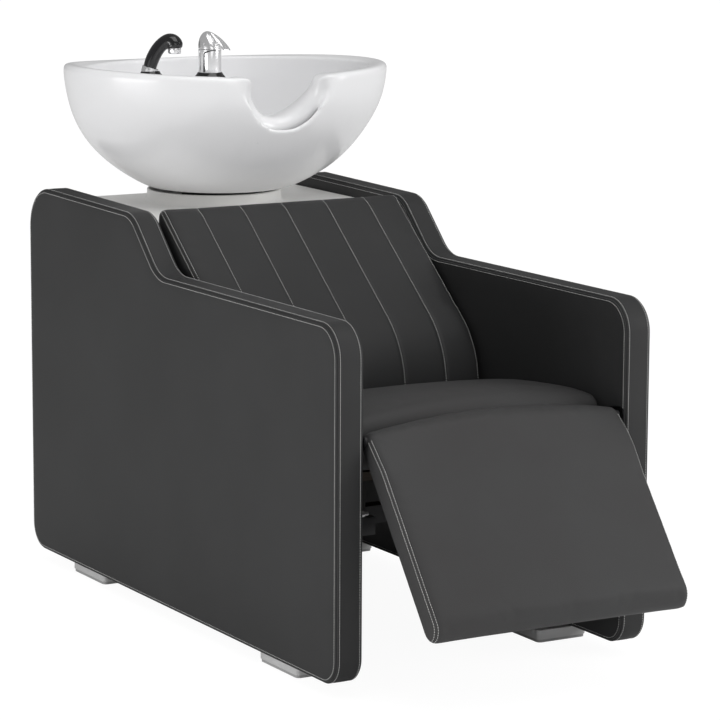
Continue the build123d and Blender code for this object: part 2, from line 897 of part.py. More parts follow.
rear_panel_face = cover_rear_setback - shell_thickness - 2 * fit_gap
rear_panel_front = rear_panel_face - rear_panel_thickness
cleat_top = cover_top - cover_flange
with BuildPart() as cleats:
    for _, way in sides:
        with BuildSketch(Plane.YZ.offset(way * inner_face)):
            with Locations(
                (front + (cover_front_setback + rear_panel_front) / 2, cleat_top - cleat_size / 2)
            ):
                Rectangle(rear_panel_front - cover_front_setback, cleat_size)
        extrude(amount=-way * cleat_size)
        with BuildSketch(Plane.XY.offset(rear_panel_bottom)):
            with Locations(
                (way * (inner_face - cleat_size / 2), front + rear_panel_front - cleat_size / 2)
            ):
                Rectangle(cleat_size, cleat_size)
        extrude(amount=cleat_top - rear_panel_bottom)
cleats.part.label = "cleats"
export_step(cleats.part, "parts/cleats.step")

rear_screw_side = inner_face - cleat_size / 2
rear_screw_marks = [
    (way * rear_screw_side, height)
    for _, way in sides
    for height in (rear_panel_bottom + rear_screw_inset, cleat_top - rear_screw_inset)
]
with BuildPart() as rear_panel:
    with BuildSketch(Plane.XZ.offset(-(front + rear_panel_front))):
        with Locations((0, (rear_panel_bottom + cover_top - shell_thickness - fit_gap) / 2)):
            Rectangle(
                2 * (cover_half_width - shell_thickness - fit_gap),
                cover_top - shell_thickness - fit_gap - rear_panel_bottom,
            )
        with Locations(*rear_screw_marks):
            Circle(small_screw_radius, mode=Mode.SUBTRACT)
    extrude(amount=-rear_panel_thickness)
rear_panel.part.label = "rear_panel"
export_step(rear_panel.part, "parts/rear_panel.step")

with BuildPart() as rear_panel_screws:
    with BuildSketch(Plane.XZ.offset(-(front + rear_panel_face))):
        with Locations(*rear_screw_marks):
            Circle(small_head_radius)
    extrude(amount=-small_head_height)
    with BuildSketch(Plane.XZ.offset(-(front + rear_panel_face))):
        with Locations(*rear_screw_marks):
            Circle(small_screw_radius)
    extrude(amount=rear_panel_thickness)
rear_panel_screws.part.label = "rear_panel_screws"
export_step(rear_panel_screws.part, "parts/rear_panel_screws.step")

# Basin stand on the two rear cross tubes, with the lugs of the tilt hinge
tilt_pin_mark = (front + tilt_pin_setback, tilt_pin_height)
stand_leg_width = rail_height - 2 * tube_wall
with BuildPart() as basin_stand:
    with BuildSketch(Plane.XY.offset(rail_top)):
        with Locations(
            *[
                (way * stand_leg_side, front + setback)
                for _, way in sides
                for setback in (stand_front_setback, stand_rear_setback)
            ]
        ):
            Rectangle(stand_leg_width, stand_leg_width)
            Rectangle(
                stand_leg_width - 2 * tube_wall, stand_leg_width - 2 * tube_wall, mode=Mode.SUBTRACT
            )
    extrude(amount=stand_plate_top - plate_thickness - rail_top)
    with BuildSketch(Plane.XY.offset(stand_plate_top - plate_thickness)):
        with Locations((0, front + stand_middle)):
            Rectangle(
                stand_plate_width,
                stand_rear_setback - stand_front_setback + 2 * stand_plate_margin,
            )
            Circle(stand_hole_radius, mode=Mode.SUBTRACT)
    extrude(amount=plate_thickness)
    for _, way in sides:
        with BuildSketch(Plane.YZ.offset(way * (stand_lug_side - plate_thickness / 2))):
            with Locations(tilt_pin_mark):
                Circle(tilt_lug_radius)
            with Locations((tilt_pin_mark[0], (stand_plate_top + tilt_pin_height) / 2)):
                Rectangle(2 * tilt_lug_radius, tilt_pin_height - stand_plate_top)
            with Locations(tilt_pin_mark):
                Circle(tilt_pin_radius, mode=Mode.SUBTRACT)
        extrude(amount=way * plate_thickness)
basin_stand.part.label = "basin_stand"
export_step(basin_stand.part, "parts/basin_stand.step")

with BuildPart() as tilt_pin:
    reach = stand_lug_side + plate_thickness / 2 + tilt_pin_overhang
    with BuildSketch(Plane.YZ.offset(-reach)):
        with Locations(tilt_pin_mark):
            Circle(tilt_pin_radius)
    extrude(amount=2 * reach)
tilt_pin.part.label = "tilt_pin"
export_step(tilt_pin.part, "parts/tilt_pin.step")

with BuildPart() as rest_buffers:
    with BuildSketch(Plane.XY.offset(stand_plate_top)):
        with Locations(*[(way * buffer_side, front + buffer_setback) for _, way in sides]):
            Circle(buffer_radius)
    extrude(amount=tilt_plate_bottom - fit_gap - stand_plate_top)
rest_buffers.part.label = "rest_buffers"
export_step(rest_buffers.part, "parts/rest_buffers.step")

with BuildPart() as tilt_plate:
    with BuildSketch(Plane.XY.offset(tilt_plate_bottom)):
        with Locations((0, front + foot_ring_setback)):
            Circle(tilt_plate_radius)
            Circle(waste_radius + fit_gap, mode=Mode.SUBTRACT)
    extrude(amount=plate_thickness)
    for _, way in sides:
        with BuildSketch(Plane.YZ.offset(way * (tilt_lug_side - plate_thickness / 2))):
            with Locations(tilt_pin_mark):
                Circle(tilt_lug_radius)
            with Locations((tilt_pin_mark[0], (tilt_plate_bottom + tilt_pin_height) / 2)):
                Rectangle(2 * tilt_lug_radius, tilt_plate_bottom - tilt_pin_height)
            with Locations(tilt_pin_mark):
                Circle(tilt_pin_radius + running_gap, mode=Mode.SUBTRACT)
        extrude(amount=way * plate_thickness)
tilt_plate.part.label = "tilt_plate"
export_step(tilt_plate.part, "parts/tilt_plate.step")

with BuildPart() as basin_gasket:
    with BuildSketch(Plane.XY.offset(tilt_plate_top)):
        with Locations((0, front + foot_ring_setback)):
            Circle(tilt_plate_radius)
            Circle(tilt_plate_radius - gasket_width, mode=Mode.SUBTRACT)
    extrude(amount=gasket_thickness)
basin_gasket.part.label = "basin_gasket"
export_step(basin_gasket.part, "parts/basin_gasket.step")


# Basin: lofted outer skin and bowl with a hollow between, neck notch with a rolled edge, tap deck
def skin_rows(shares, low, high, low_radius, wide, deep, low_setback, high_setback):
    """Heights, half widths, half depths and centres of a skin, from its table of shares."""
    return [
        (
            low + (high - low) * height,
            low_radius + (wide - low_radius) * width,
            low_radius + (deep - low_radius) * depth,
            front + low_setback + (high_setback - low_setback) * shift,
        )
        for height, width, depth, shift in shares
    ]


def thicken(rows, wall):
    """Rows moved inwards by wall at right angles to the skin, or outwards where wall is negative."""
    moved = []
    for index, (height, wide, deep, centre) in enumerate(rows):
        below = rows[max(index - 1, 0)]
        above = rows[min(index + 1, len(rows) - 1)]
        rise = above[0] - below[0]
        spread = above[1] - below[1]
        run = hypot(rise, spread)
        inset = wall * rise / run
        moved.append((height + wall * spread / run, wide - inset, deep - inset, centre))
    return moved


def skin(rows):
    """Closed solid through ellipses."""
    sections = []
    for height, wide, deep, centre in rows:
        with BuildSketch(Plane.XY.offset(height)) as section:
            with Locations((0, centre)):
                Ellipse(wide, deep)
        sections.append(section.sketch)
    loft(sections)


outer_rows = skin_rows(
    basin_shares,
    foot_ring_height,
    rim_height,
    foot_ring_radius,
    rim_half_width,
    rim_half_depth,
    foot_ring_setback,
    rim_setback,
)
bowl_rows = skin_rows(
    bowl_shares,
    bowl_floor_height,
    rim_height,
    bowl_floor_radius,
    rim_half_width - rim_width,
    rim_half_depth - rim_width,
    foot_ring_setback,
    rim_setback,
)
deck_centre = (-deck_lobe_side, front + deck_lobe_setback)

with BuildPart() as bowl_space:
    skin(bowl_rows)
    with BuildSketch(Plane.XY.offset(bowl_floor_height - overrun)):
        with Locations(deck_centre):
            Circle(deck_lobe_radius)
    extrude(amount=rim_height - bowl_floor_height + 2 * overrun, mode=Mode.SUBTRACT)

with BuildPart() as bowl_wall:
    skin(thicken(bowl_rows, -ceramic_wall))
    with BuildSketch(Plane.XY.offset(bowl_floor_height - 2 * ceramic_wall)):
        with Locations(deck_centre):
            Circle(deck_lobe_radius - ceramic_wall)
    extrude(amount=rim_height - bowl_floor_height + 4 * ceramic_wall, mode=Mode.SUBTRACT)

with BuildPart() as wall_space:
    skin(thicken(outer_rows, ceramic_wall))
    split(bisect_by=Plane.XY.offset(rim_height - rim_slab), keep=Keep.BOTTOM)
    add(bowl_wall.part, mode=Mode.SUBTRACT)
    with BuildSketch(Plane.XY.offset(deck_height - rim_slab)):
        with Locations(deck_centre):
            Circle(deck_lobe_radius)
    extrude(amount=rim_slab, mode=Mode.SUBTRACT)

roll_lean = radians(neck_roll_lean)
roll_start = neck_roll_radius / cos(roll_lean)
roll_plane = Plane(
    origin=(0, front + neck_roll_setback, rim_height),
    x_dir=(1, 0, 0),
    z_dir=(0, cos(roll_lean), sin(roll_lean)),
)
with BuildPart() as neck_roll:
    with BuildLine(roll_plane) as roll_path:
        Line((neck_half_width, -roll_start), (neck_half_width, roll_start))
        EllipticalCenterArc(
            (0, roll_start), neck_half_width, neck_drop / cos(roll_lean), 0, arc_size=180
        )
        Line((-neck_half_width, roll_start), (-neck_half_width, -roll_start))
    with BuildSketch(Plane(origin=roll_path.line @ 0, z_dir=roll_path.line % 0)):
        Circle(neck_roll_radius)
    sweep()
    split(bisect_by=Plane.XY.offset(rim_height), keep=Keep.BOTTOM)

tap_marks = (
    ((-mixer_side, front + mixer_setback), mixer_hole_radius),
    ((-spray_side, front + spray_setback), spray_hole_radius),
)
with BuildPart() as basin:
    skin(outer_rows)
    fillet(basin.edges().group_by(Axis.Z)[-1], rim_fillet)
    add(bowl_space.part, mode=Mode.SUBTRACT)
    add(wall_space.part, mode=Mode.SUBTRACT)
    with BuildSketch(Plane.XY.offset(deck_height)):
        with Locations((0, front + rim_setback)):
            Ellipse(rim_half_width - deck_lip_width, rim_half_depth - deck_lip_width)
        with Locations(deck_centre):
            Circle(deck_lobe_radius + deck_lip_width, mode=Mode.INTERSECT)
    extrude(amount=2 * deck_recess, mode=Mode.SUBTRACT)
    for place, radius in tap_marks:
        with BuildSketch(Plane.XY.offset(deck_height + overrun)):
            with Locations(place):
                Circle(radius)
        extrude(amount=-rim_slab - 2 * overrun, mode=Mode.SUBTRACT)
    with BuildSketch(Plane.XY.offset(foot_ring_height)):
        with Locations((0, front + foot_ring_setback)):
            Circle(ring_opening_radius)
    extrude(amount=ceramic_wall, mode=Mode.SUBTRACT)
    with BuildSketch(Plane.XY.offset(foot_ring_height)):
        with Locations((0, front + foot_ring_setback)):
            Circle(waste_radius + fit_gap)
    extrude(amount=bowl_floor_height - foot_ring_height + overrun, mode=Mode.SUBTRACT)
    with BuildSketch(Plane.XZ.offset(-(front + rim_setback))):
        with Locations((0, rim_height - neck_roll_radius)):
            Ellipse(neck_half_width, neck_drop)
        with Locations((0, rim_height)):
            Rectangle(2 * neck_half_width, 2 * neck_roll_radius)
    extrude(amount=2 * rim_half_depth, mode=Mode.SUBTRACT)
    add(neck_roll.part)
basin.part.label = "basin"
export_step(basin.part, "parts/basin.step")

# Waste: flanged body through bowl and tilt plate, held by its nut, with a strainer
waste_centre = (0, front + foot_ring_setback)
waste_top = bowl_floor_height + waste_flange_thickness
strainer_radius = waste_radius - waste_wall
strainer_bottom = waste_top - 2 * strainer_thickness
with BuildPart() as waste_body:
    for radius, high, low in (
        (waste_flange_radius, waste_top, bowl_floor_height),
        (waste_radius, bowl_floor_height, waste_bottom),
    ):
        with BuildSketch(Plane.XY.offset(low)):
            with Locations(waste_centre):
                Circle(radius)
        extrude(amount=high - low)
    for radius, low in ((strainer_radius, strainer_bottom), (strainer_radius - waste_wall, waste_bottom)):
        with BuildSketch(Plane.XY.offset(low)):
            with Locations(waste_centre):
                Circle(radius)
        extrude(amount=waste_top - low, mode=Mode.SUBTRACT)
waste_body.part.label = "waste_body"
export_step(waste_body.part, "parts/waste_body.step")

with BuildPart() as strainer:
    with BuildSketch(Plane.XY.offset(strainer_bottom)):
        with Locations(waste_centre):
            Circle(strainer_radius - running_gap)
            Circle(strainer_hole_radius, mode=Mode.SUBTRACT)
            with PolarLocations(strainer_ring_radius, strainer_hole_count):
                Circle(strainer_hole_radius, mode=Mode.SUBTRACT)
    extrude(amount=strainer_thickness)
strainer.part.label = "strainer"
export_step(strainer.part, "parts/strainer.step")

with BuildPart() as waste_nut:
    with BuildSketch(Plane.XY.offset(tilt_plate_bottom)):
        with Locations(waste_centre):
            RegularPolygon(waste_nut_radius, 6)
            Circle(waste_radius, mode=Mode.SUBTRACT)
    extrude(amount=-waste_nut_height)
waste_nut.part.label = "waste_nut"
export_step(waste_nut.part, "parts/waste_nut.step")

# Mixer tap: ring and body on the deck, spindle that turns in the body, lever that lifts on the spindle
heading = radians(tap_heading)
mixer_place = (-mixer_side, front + mixer_setback)
mixer_top = deck_height + mixer_height
deck_underside = deck_height - rim_slab
body_seat = deck_height + mixer_ring_height - mixer_seat_depth

with BuildPart() as mixer_ring:
    with BuildSketch(Plane.XZ.offset(-mixer_place[1])):
        with BuildLine():
            flare = mixer_place[0] + mixer_ring_radius
            shoulder = mixer_place[0] + mixer_ring_top_radius
            seat = mixer_place[0] + mixer_radius
            bore = mixer_place[0] + mixer_shank_radius
            crest = deck_height + mixer_ring_height
            Line((bore, deck_height), (flare, deck_height))
            Line((flare, deck_height), (flare, deck_height + mixer_seat_depth))
            ThreePointArc(
                (flare, deck_height + mixer_seat_depth),
                (
                    (flare + shoulder) / 2 + loose_gap,
                    (crest + deck_height + mixer_seat_depth) / 2 + loose_gap,
                ),
                (shoulder, crest),
            )
            Line((shoulder, crest), (seat, crest))
            Line((seat, crest), (seat, body_seat))
            Line((seat, body_seat), (bore, body_seat))
            Line((bore, body_seat), (bore, deck_height))
        make_face()
    revolve(axis=Axis((*mixer_place, 0), (0, 0, 1)))
mixer_ring.part.label = "mixer_ring"
export_step(mixer_ring.part, "parts/mixer_ring.step")

with BuildPart() as mixer_body:
    with BuildSketch(Plane.XY.offset(body_seat)):
        with Locations(mixer_place):
            Circle(mixer_radius)
    extrude(amount=mixer_top - body_seat)
    fillet(mixer_body.edges().group_by(Axis.Z)[-1], lever_gap)
    with BuildSketch(Plane.XY.offset(body_seat)):
        with Locations(mixer_place):
            Circle(mixer_shank_radius)
    extrude(amount=-mixer_shank_length)
    with BuildSketch(Plane.XY.offset(mixer_top)):
        with Locations(mixer_place):
            Circle(spindle_radius + running_gap)
    extrude(amount=-spindle_depth, mode=Mode.SUBTRACT)
mixer_body.part.label = "mixer_body"
export_step(mixer_body.part, "parts/mixer_body.step")

with BuildPart() as mixer_nut:
    with BuildSketch(Plane.XY.offset(deck_underside)):
        with Locations(mixer_place):
            RegularPolygon(tap_nut_radius, 6)
            Circle(mixer_shank_radius, mode=Mode.SUBTRACT)
    extrude(amount=-tap_nut_height)
mixer_nut.part.label = "mixer_nut"
export_step(mixer_nut.part, "parts/mixer_nut.step")

# Side view plane of the lever: x points along the lever, y up from its underside
lever_base = mixer_top + lever_gap
lever_side = Plane(
    origin=(*mixer_place, lever_base),
    x_dir=(cos(heading), sin(heading), 0),
    z_dir=(sin(heading), -cos(heading), 0),
)
lever_pin_mark = (-lever_pin_offset, lever_pin_height)
with BuildPart() as mixer_spindle:
    with BuildSketch(Plane.XY.offset(mixer_top - spindle_depth + loose_gap)):
        with Locations(mixer_place):
            Circle(spindle_radius)
    extrude(amount=spindle_depth + lever_gap - loose_gap)
    with BuildSketch(Plane.XY.offset(lever_base)):
        with Locations(mixer_place):
            Circle(spindle_plate_radius)
    extrude(amount=spindle_plate_thickness)
    with BuildSketch(lever_side.offset(-lever_lug_width / 2)):
        with Locations(lever_pin_mark):
            Circle(lever_lug_radius)
        with Locations((-lever_pin_offset, lever_pin_height / 2)):
            Rectangle(2 * lever_lug_radius, lever_pin_height)
        with Locations(lever_pin_mark):
            Circle(lever_pin_radius + running_gap, mode=Mode.SUBTRACT)
    extrude(amount=lever_lug_width)
    with BuildSketch(Plane.XY.offset(lever_base)):
        with Locations(mixer_place):
            Circle(mixer_radius)
            Circle(spindle_plate_radius, mode=Mode.SUBTRACT)
    extrude(amount=lever_height, mode=Mode.SUBTRACT)
mixer_spindle.part.label = "mixer_spindle"
export_step(mixer_spindle.part, "parts/mixer_spindle.step")

with BuildPart() as mixer_lever:
    with BuildSketch(lever_side.offset(-mixer_radius)):
        with BuildLine():
            heel = (-mixer_radius, lever_heel_rise)
            crown = (-mixer_radius / 4, lever_height)
            tip = (lever_tip_reach, lever_tip_height)
            Line((-mixer_radius / 2, 0), (lever_tip_reach, 0))
            Line((lever_tip_reach, 0), tip)
            Spline(
                tip,
                (lever_tip_reach / 2, lever_height * lever_front_share),
                crown,
                (-mixer_radius, lever_height * lever_rear_share),
                heel,
            )
            Line(heel, (-mixer_radius / 2, 0))
        make_face()
    extrude(amount=2 * mixer_radius)
    with BuildSketch(Plane(origin=(*mixer_place, lever_base), x_dir=(cos(heading), sin(heading), 0))):
        Circle(mixer_radius)
        with Locations((lever_tip_reach - lever_tip_radius, 0)):
            Circle(lever_tip_radius)
        make_hull()
    extrude(amount=lever_height, mode=Mode.INTERSECT)
    with BuildSketch(Plane.XY.offset(lever_base)):
        with Locations(mixer_place):
            Circle(mixer_radius - lever_wall)
    extrude(amount=lever_height / 2, mode=Mode.SUBTRACT)
    with BuildSketch(lever_side.offset(-mixer_radius)):
        with Locations(lever_pin_mark):
            Circle(lever_pin_radius)
    extrude(amount=2 * mixer_radius, mode=Mode.SUBTRACT)
mixer_lever.part.label = "mixer_lever"
export_step(mixer_lever.part, "parts/mixer_lever.step")

with BuildPart() as lever_pin:
    half_pin = mixer_radius - lever_wall
    with BuildSketch(lever_side.offset(-half_pin)):
        with Locations(lever_pin_mark):
            Circle(lever_pin_radius)
    extrude(amount=2 * half_pin)
lever_pin.part.label = "lever_pin"
export_step(lever_pin.part, "parts/lever_pin.step")

# Hand spray: leaning grip in a socket that the nut clamps to the deck
spray_place = (-spray_side, front + spray_setback)
spray_tilt = radians(spray_lean)
spray_origin = (
    spray_place[0] - spray_offset * cos(heading),
    spray_place[1] - spray_offset * sin(heading),
    deck_height + spray_flange_height,
)
spray_axis_plane = Plane(
    origin=spray_origin,
    x_dir=(cos(heading) * cos(spray_tilt), sin(heading) * cos(spray_tilt), -sin(spray_tilt)),
    z_dir=(cos(heading) * sin(spray_tilt), sin(heading) * sin(spray_tilt), cos(spray_tilt)),
)
with BuildPart() as spray_holder:
    with BuildSketch(Plane.XY.offset(deck_height)):
        with Locations(spray_place):
            Circle(spray_flange_radius)
    with BuildSketch(Plane.XY.offset(deck_height + 2 * spray_flange_height)):
        with Locations(spray_place):
            Circle(spray_flange_top_radius)
    loft()
    with BuildSketch(Plane.XY.offset(deck_height)):
        with Locations(spray_place):
            Circle(spray_socket_radius)
    extrude(amount=-spray_socket_length)
    with BuildSketch(spray_axis_plane):
        Circle(spray_socket_radius * 2)
    extrude(amount=4 * spray_flange_height, mode=Mode.SUBTRACT)
    with BuildSketch(spray_axis_plane):
        Circle(spray_stem_radius + running_gap)
    extrude(amount=-2 * spray_socket_length, mode=Mode.SUBTRACT)
spray_holder.part.label = "spray_holder"
export_step(spray_holder.part, "parts/spray_holder.step")

with BuildPart() as spray_nut:
    with BuildSketch(Plane.XY.offset(deck_underside)):
        with Locations(spray_place):
            RegularPolygon(tap_nut_radius, 6)
            Circle(spray_socket_radius, mode=Mode.SUBTRACT)
    extrude(amount=-tap_nut_height)
spray_nut.part.label = "spray_nut"
export_step(spray_nut.part, "parts/spray_nut.step")

with BuildPart() as spray_collar:
    with BuildSketch(spray_axis_plane.offset(fit_gap)):
        Circle(spray_collar_radius)
    extrude(amount=spray_collar_height)
    fillet(spray_collar.edges(), loose_gap)
    with BuildSketch(spray_axis_plane.offset(fit_gap)):
        Circle(spray_stem_radius)
    extrude(amount=-spray_stem_length)
spray_collar.part.label = "spray_collar"
export_step(spray_collar.part, "parts/spray_collar.step")

spray_side_plane = Plane(
    origin=spray_origin,
    x_dir=spray_axis_plane.x_dir,
    z_dir=(sin(heading), -cos(heading), 0),
)


def turned(start, tilt, radius, angle):
    """Point that an arc of this radius reaches from start, both angles measured from the socket's axis."""
    return (
        start[0] + radius * (cos(tilt) - cos(tilt + angle)),
        start[1] + radius * (sin(tilt + angle) - sin(tilt)),
    )


bow = radians(spray_bow_angle)
bend = radians(spray_bend_angle)
grip_base = (0, spray_collar_height + fit_gap)
grip_neck = turned(grip_base, 0, spray_bow_radius, bow)
grip_end = turned(grip_neck, bow, spray_bend_radius, bend)
with BuildPart() as spray_grip:
    with BuildLine(spray_side_plane):
        ThreePointArc(grip_base, turned(grip_base, 0, spray_bow_radius, bow / 2), grip_neck)
        ThreePointArc(grip_neck, turned(grip_neck, bow, spray_bend_radius, bend / 2), grip_end)
    with BuildSketch(spray_axis_plane.offset(grip_base[1])):
        Circle(spray_grip_radius)
    sweep()
spray_grip.part.label = "spray_grip"
export_step(spray_grip.part, "parts/spray_grip.step")

nozzle_start = spray_side_plane.from_local_coords((*grip_end, 0))
nozzle_tip = (sin(bow + bend), cos(bow + bend), 0)
nozzle_aim = spray_side_plane.from_local_coords(nozzle_tip) - Vector(spray_origin)
with BuildPart() as spray_nozzle:
    with BuildSketch(Plane(origin=nozzle_start, z_dir=nozzle_aim)):
        Circle(spray_nozzle_radius)
    extrude(amount=spray_nozzle_height)
    fillet(spray_nozzle.edges().sort_by(Axis.Z)[0], loose_gap)
spray_nozzle.part.label = "spray_nozzle"
export_step(spray_nozzle.part, "parts/spray_nozzle.step")
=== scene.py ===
"""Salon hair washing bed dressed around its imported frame: padded leatherette, glazed basin, chrome and black taps."""

import json
import math

import bmesh
import bpy
import numpy as np
from mathutils import Matrix, Vector
from mathutils.bvhtree import BVHTree
from mathutils.kdtree import KDTree

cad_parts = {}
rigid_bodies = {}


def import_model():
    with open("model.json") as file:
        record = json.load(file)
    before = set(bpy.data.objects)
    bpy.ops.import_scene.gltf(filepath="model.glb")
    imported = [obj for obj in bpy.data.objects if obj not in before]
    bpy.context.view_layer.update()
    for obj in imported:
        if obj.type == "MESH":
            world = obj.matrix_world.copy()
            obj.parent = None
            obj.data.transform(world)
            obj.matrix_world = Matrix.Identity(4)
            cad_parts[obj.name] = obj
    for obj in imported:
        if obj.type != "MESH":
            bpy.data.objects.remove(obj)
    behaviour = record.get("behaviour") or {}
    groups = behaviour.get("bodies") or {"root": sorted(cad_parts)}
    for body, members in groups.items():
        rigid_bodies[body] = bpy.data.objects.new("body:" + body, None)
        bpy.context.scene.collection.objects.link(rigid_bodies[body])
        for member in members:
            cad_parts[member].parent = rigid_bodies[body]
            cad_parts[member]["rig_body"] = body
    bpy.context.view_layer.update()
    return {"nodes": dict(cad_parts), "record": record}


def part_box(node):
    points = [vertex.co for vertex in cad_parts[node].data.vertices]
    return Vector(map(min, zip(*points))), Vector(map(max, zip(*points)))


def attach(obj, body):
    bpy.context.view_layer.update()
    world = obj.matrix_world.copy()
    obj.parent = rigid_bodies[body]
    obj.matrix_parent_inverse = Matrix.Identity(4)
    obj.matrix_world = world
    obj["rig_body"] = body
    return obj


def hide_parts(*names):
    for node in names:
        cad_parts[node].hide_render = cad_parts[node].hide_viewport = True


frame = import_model()
nodes = frame["nodes"]
MM = 0.001
# The panels' front edge, from which every setback is measured towards the basin
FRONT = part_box("left_panel_cover")[0].y


# Finishes
def finish(name):
    """New material with its output and principled shader."""
    made = bpy.data.materials.new(name)
    made.use_nodes = True
    return made, made.node_tree.nodes["Principled BSDF"]


def wire(made, kind, **settings):
    """Adds one node: a setting named after a property sets it, one named after a socket fills or links it."""
    tree = made.node_tree
    node = tree.nodes.new(kind)
    for key, value in settings.items():
        if hasattr(node, key) and key not in node.inputs:
            setattr(node, key, value)
    for key, value in settings.items():
        label = key.replace("_", " ")
        if label in node.inputs:
            if isinstance(value, bpy.types.NodeSocket):
                tree.links.new(value, node.inputs[label])
            else:
                node.inputs[label].default_value = value
    return node


def place(made):
    """Position on the object, so that a pattern rides with its piece."""
    return wire(made, "ShaderNodeTexCoord").outputs["Object"]


def tone_between(made, mask, first, second, low=0.3, high=0.7):
    """Colour ramp between two tones."""
    ramp = wire(made, "ShaderNodeValToRGB")
    made.node_tree.links.new(mask, ramp.inputs["Fac"])
    ramp.color_ramp.elements[0].position = low
    ramp.color_ramp.elements[1].position = high
    ramp.color_ramp.elements[0].color = (*first, 1)
    ramp.color_ramp.elements[1].color = (*second, 1)
    return ramp.outputs["Color"]


def spread(made, mask, low, high, least=0.0, most=1.0):
    """A mask from least to most, spread to another range."""
    node = wire(made, "ShaderNodeMapRange")
    made.node_tree.links.new(mask, node.inputs["Value"])
    node.inputs["From Min"].default_value = least
    node.inputs["From Max"].default_value = most
    node.inputs["To Min"].default_value = low
    node.inputs["To Max"].default_value = high
    return node.outputs["Result"]


def noise(made, where, scale, detail=2.0, roughness=0.5):
    node = wire(made, "ShaderNodeTexNoise")
    made.node_tree.links.new(where, node.inputs["Vector"])
    node.inputs["Scale"].default_value = scale
    node.inputs["Detail"].default_value = detail
    node.inputs["Roughness"].default_value = roughness
    return node.outputs["Fac"]


def relief(made, shader, height, distance, strength=1.0, under=None):
    """Bump of that depth in metres, over the one under it."""
    node = wire(made, "ShaderNodeBump")
    made.node_tree.links.new(height, node.inputs["Height"])
    node.inputs["Distance"].default_value = distance
    node.inputs["Strength"].default_value = strength
    if under is not None:
        made.node_tree.links.new(under, node.inputs["Normal"])
    made.node_tree.links.new(node.outputs["Normal"], shader.inputs["Normal"])
    return node.outputs["Normal"]


def feed(made, shader, **links):
    """Fills or links the shader's sockets by name."""
    for key, value in links.items():
        label = key.replace("_", " ")
        if isinstance(value, bpy.types.NodeSocket):
            made.node_tree.links.new(value, shader.inputs[label])
        else:
            shader.inputs[label].default_value = value


def leatherette(name, dark, light):
    """Grained vinyl: pebbled cells over finer pores, tone drifting a little and paler where it is rubbed."""
    made, shader = finish(name)
    where = place(made)
    drift = noise(made, where, 5.0, 3.0, 0.6)
    cells = wire(made, "ShaderNodeTexVoronoi", feature="SMOOTH_F1", Scale=820.0, Smoothness=0.35)
    made.node_tree.links.new(where, cells.inputs["Vector"])
    pores = noise(made, where, 2600.0, 3.0, 0.6)
    tone = tone_between(made, drift, dark, light)
    worn = wire(made, "ShaderNodeNewGeometry").outputs["Pointiness"]
    rub = spread(made, worn, 0.0, 1.0, 0.52, 0.62)
    mix = wire(made, "ShaderNodeMix", data_type="RGBA", blend_type="MIX")
    first_colour, second_colour, mixed_colour = mix.inputs[6], mix.inputs[7], mix.outputs[2]
    made.node_tree.links.new(spread(made, rub, 0.0, 0.25), mix.inputs["Factor"])
    made.node_tree.links.new(tone, first_colour)
    paler = 1.8
    second_colour.default_value = (*[c * paler for c in light], 1)
    shine = spread(made, pores, 0.48, 0.62)
    feed(made, shader, Base_Color=mixed_colour, Roughness=shine, Specular_IOR_Level=0.30)
    first = relief(made, shader, cells.outputs["Distance"], 0.00022, 0.55)
    relief(made, shader, pores, 0.00008, 0.5, first)
    return made


def glaze():
    """White glaze: clear coat over a body that is a little uneven."""
    made, shader = finish("white glaze")
    where = place(made)
    drift = noise(made, where, 3.0)
    ripple = noise(made, where, 26.0, 1.0)
    feed(
        made,
        shader,
        Base_Color=tone_between(made, drift, (0.80, 0.80, 0.81), (0.83, 0.83, 0.84)),
        Roughness=spread(made, ripple, 0.26, 0.34),
        Coat_Weight=0.45,
        Coat_Roughness=0.12,
    )
    relief(made, shader, ripple, 0.0006, 0.25)
    return made


def moulded(name, dark, light, low, high, grain=900.0, depth=0.00005, **more):
    """Moulded plastic or rubber with a fine even texture."""
    made, shader = finish(name)
    where = place(made)
    fine = noise(made, where, grain, 3.0)
    feed(
        made,
        shader,
        Base_Color=tone_between(made, noise(made, where, 9.0), dark, light),
        Roughness=spread(made, fine, low, high),
        **more,
    )
    relief(made, shader, fine, depth, 0.5)
    return made


def metal(name, dark, light, low, high, stretch=(1, 1, 1), grain=140.0, depth=0.00003, share=1.0):
    """Metal whose roughness follows a grain that can be stretched one way."""
    made, shader = finish(name)
    mapping = wire(made, "ShaderNodeMapping")
    made.node_tree.links.new(place(made), mapping.inputs["Vector"])
    mapping.inputs["Scale"].default_value = stretch
    fine = noise(made, mapping.outputs["Vector"], grain, 3.0)
    feed(
        made,
        shader,
        Base_Color=tone_between(made, fine, dark, light),
        Roughness=spread(made, fine, low, high),
        Metallic=share,
    )
    relief(made, shader, fine, depth, 0.4)
    return made


def plywood():
    """Plywood with its plies stacked upwards, toned dark as painted shade for the gap beside the legrest."""
    made, shader = finish("ply darkened as painted shade")
    mapping = wire(made, "ShaderNodeMapping")
    made.node_tree.links.new(place(made), mapping.inputs["Vector"])
    mapping.inputs["Scale"].default_value = (1, 1, 12)
    rings = noise(made, mapping.outputs["Vector"], 22.0, 5.0, 0.65)
    feed(
        made,
        shader,
        Base_Color=tone_between(made, rings, (0.030, 0.021, 0.014), (0.055, 0.040, 0.027)),
        Roughness=spread(made, rings, 0.55, 0.75),
    )
    relief(made, shader, rings, 0.0002, 0.4)
    return made


def sewing_thread():
    """Pale twisted thread."""
    made, shader = finish("sewing thread")
    where = place(made)
    ply = noise(made, where, 1500.0, 2.0)
    feed(
        made,
        shader,
        Base_Color=tone_between(made, ply, (0.62, 0.62, 0.61), (0.82, 0.82, 0.80)),
        Roughness=0.55,
        Sheen_Weight=0.2,
    )
    relief(made, shader, ply, 0.0001, 0.6)
    return made


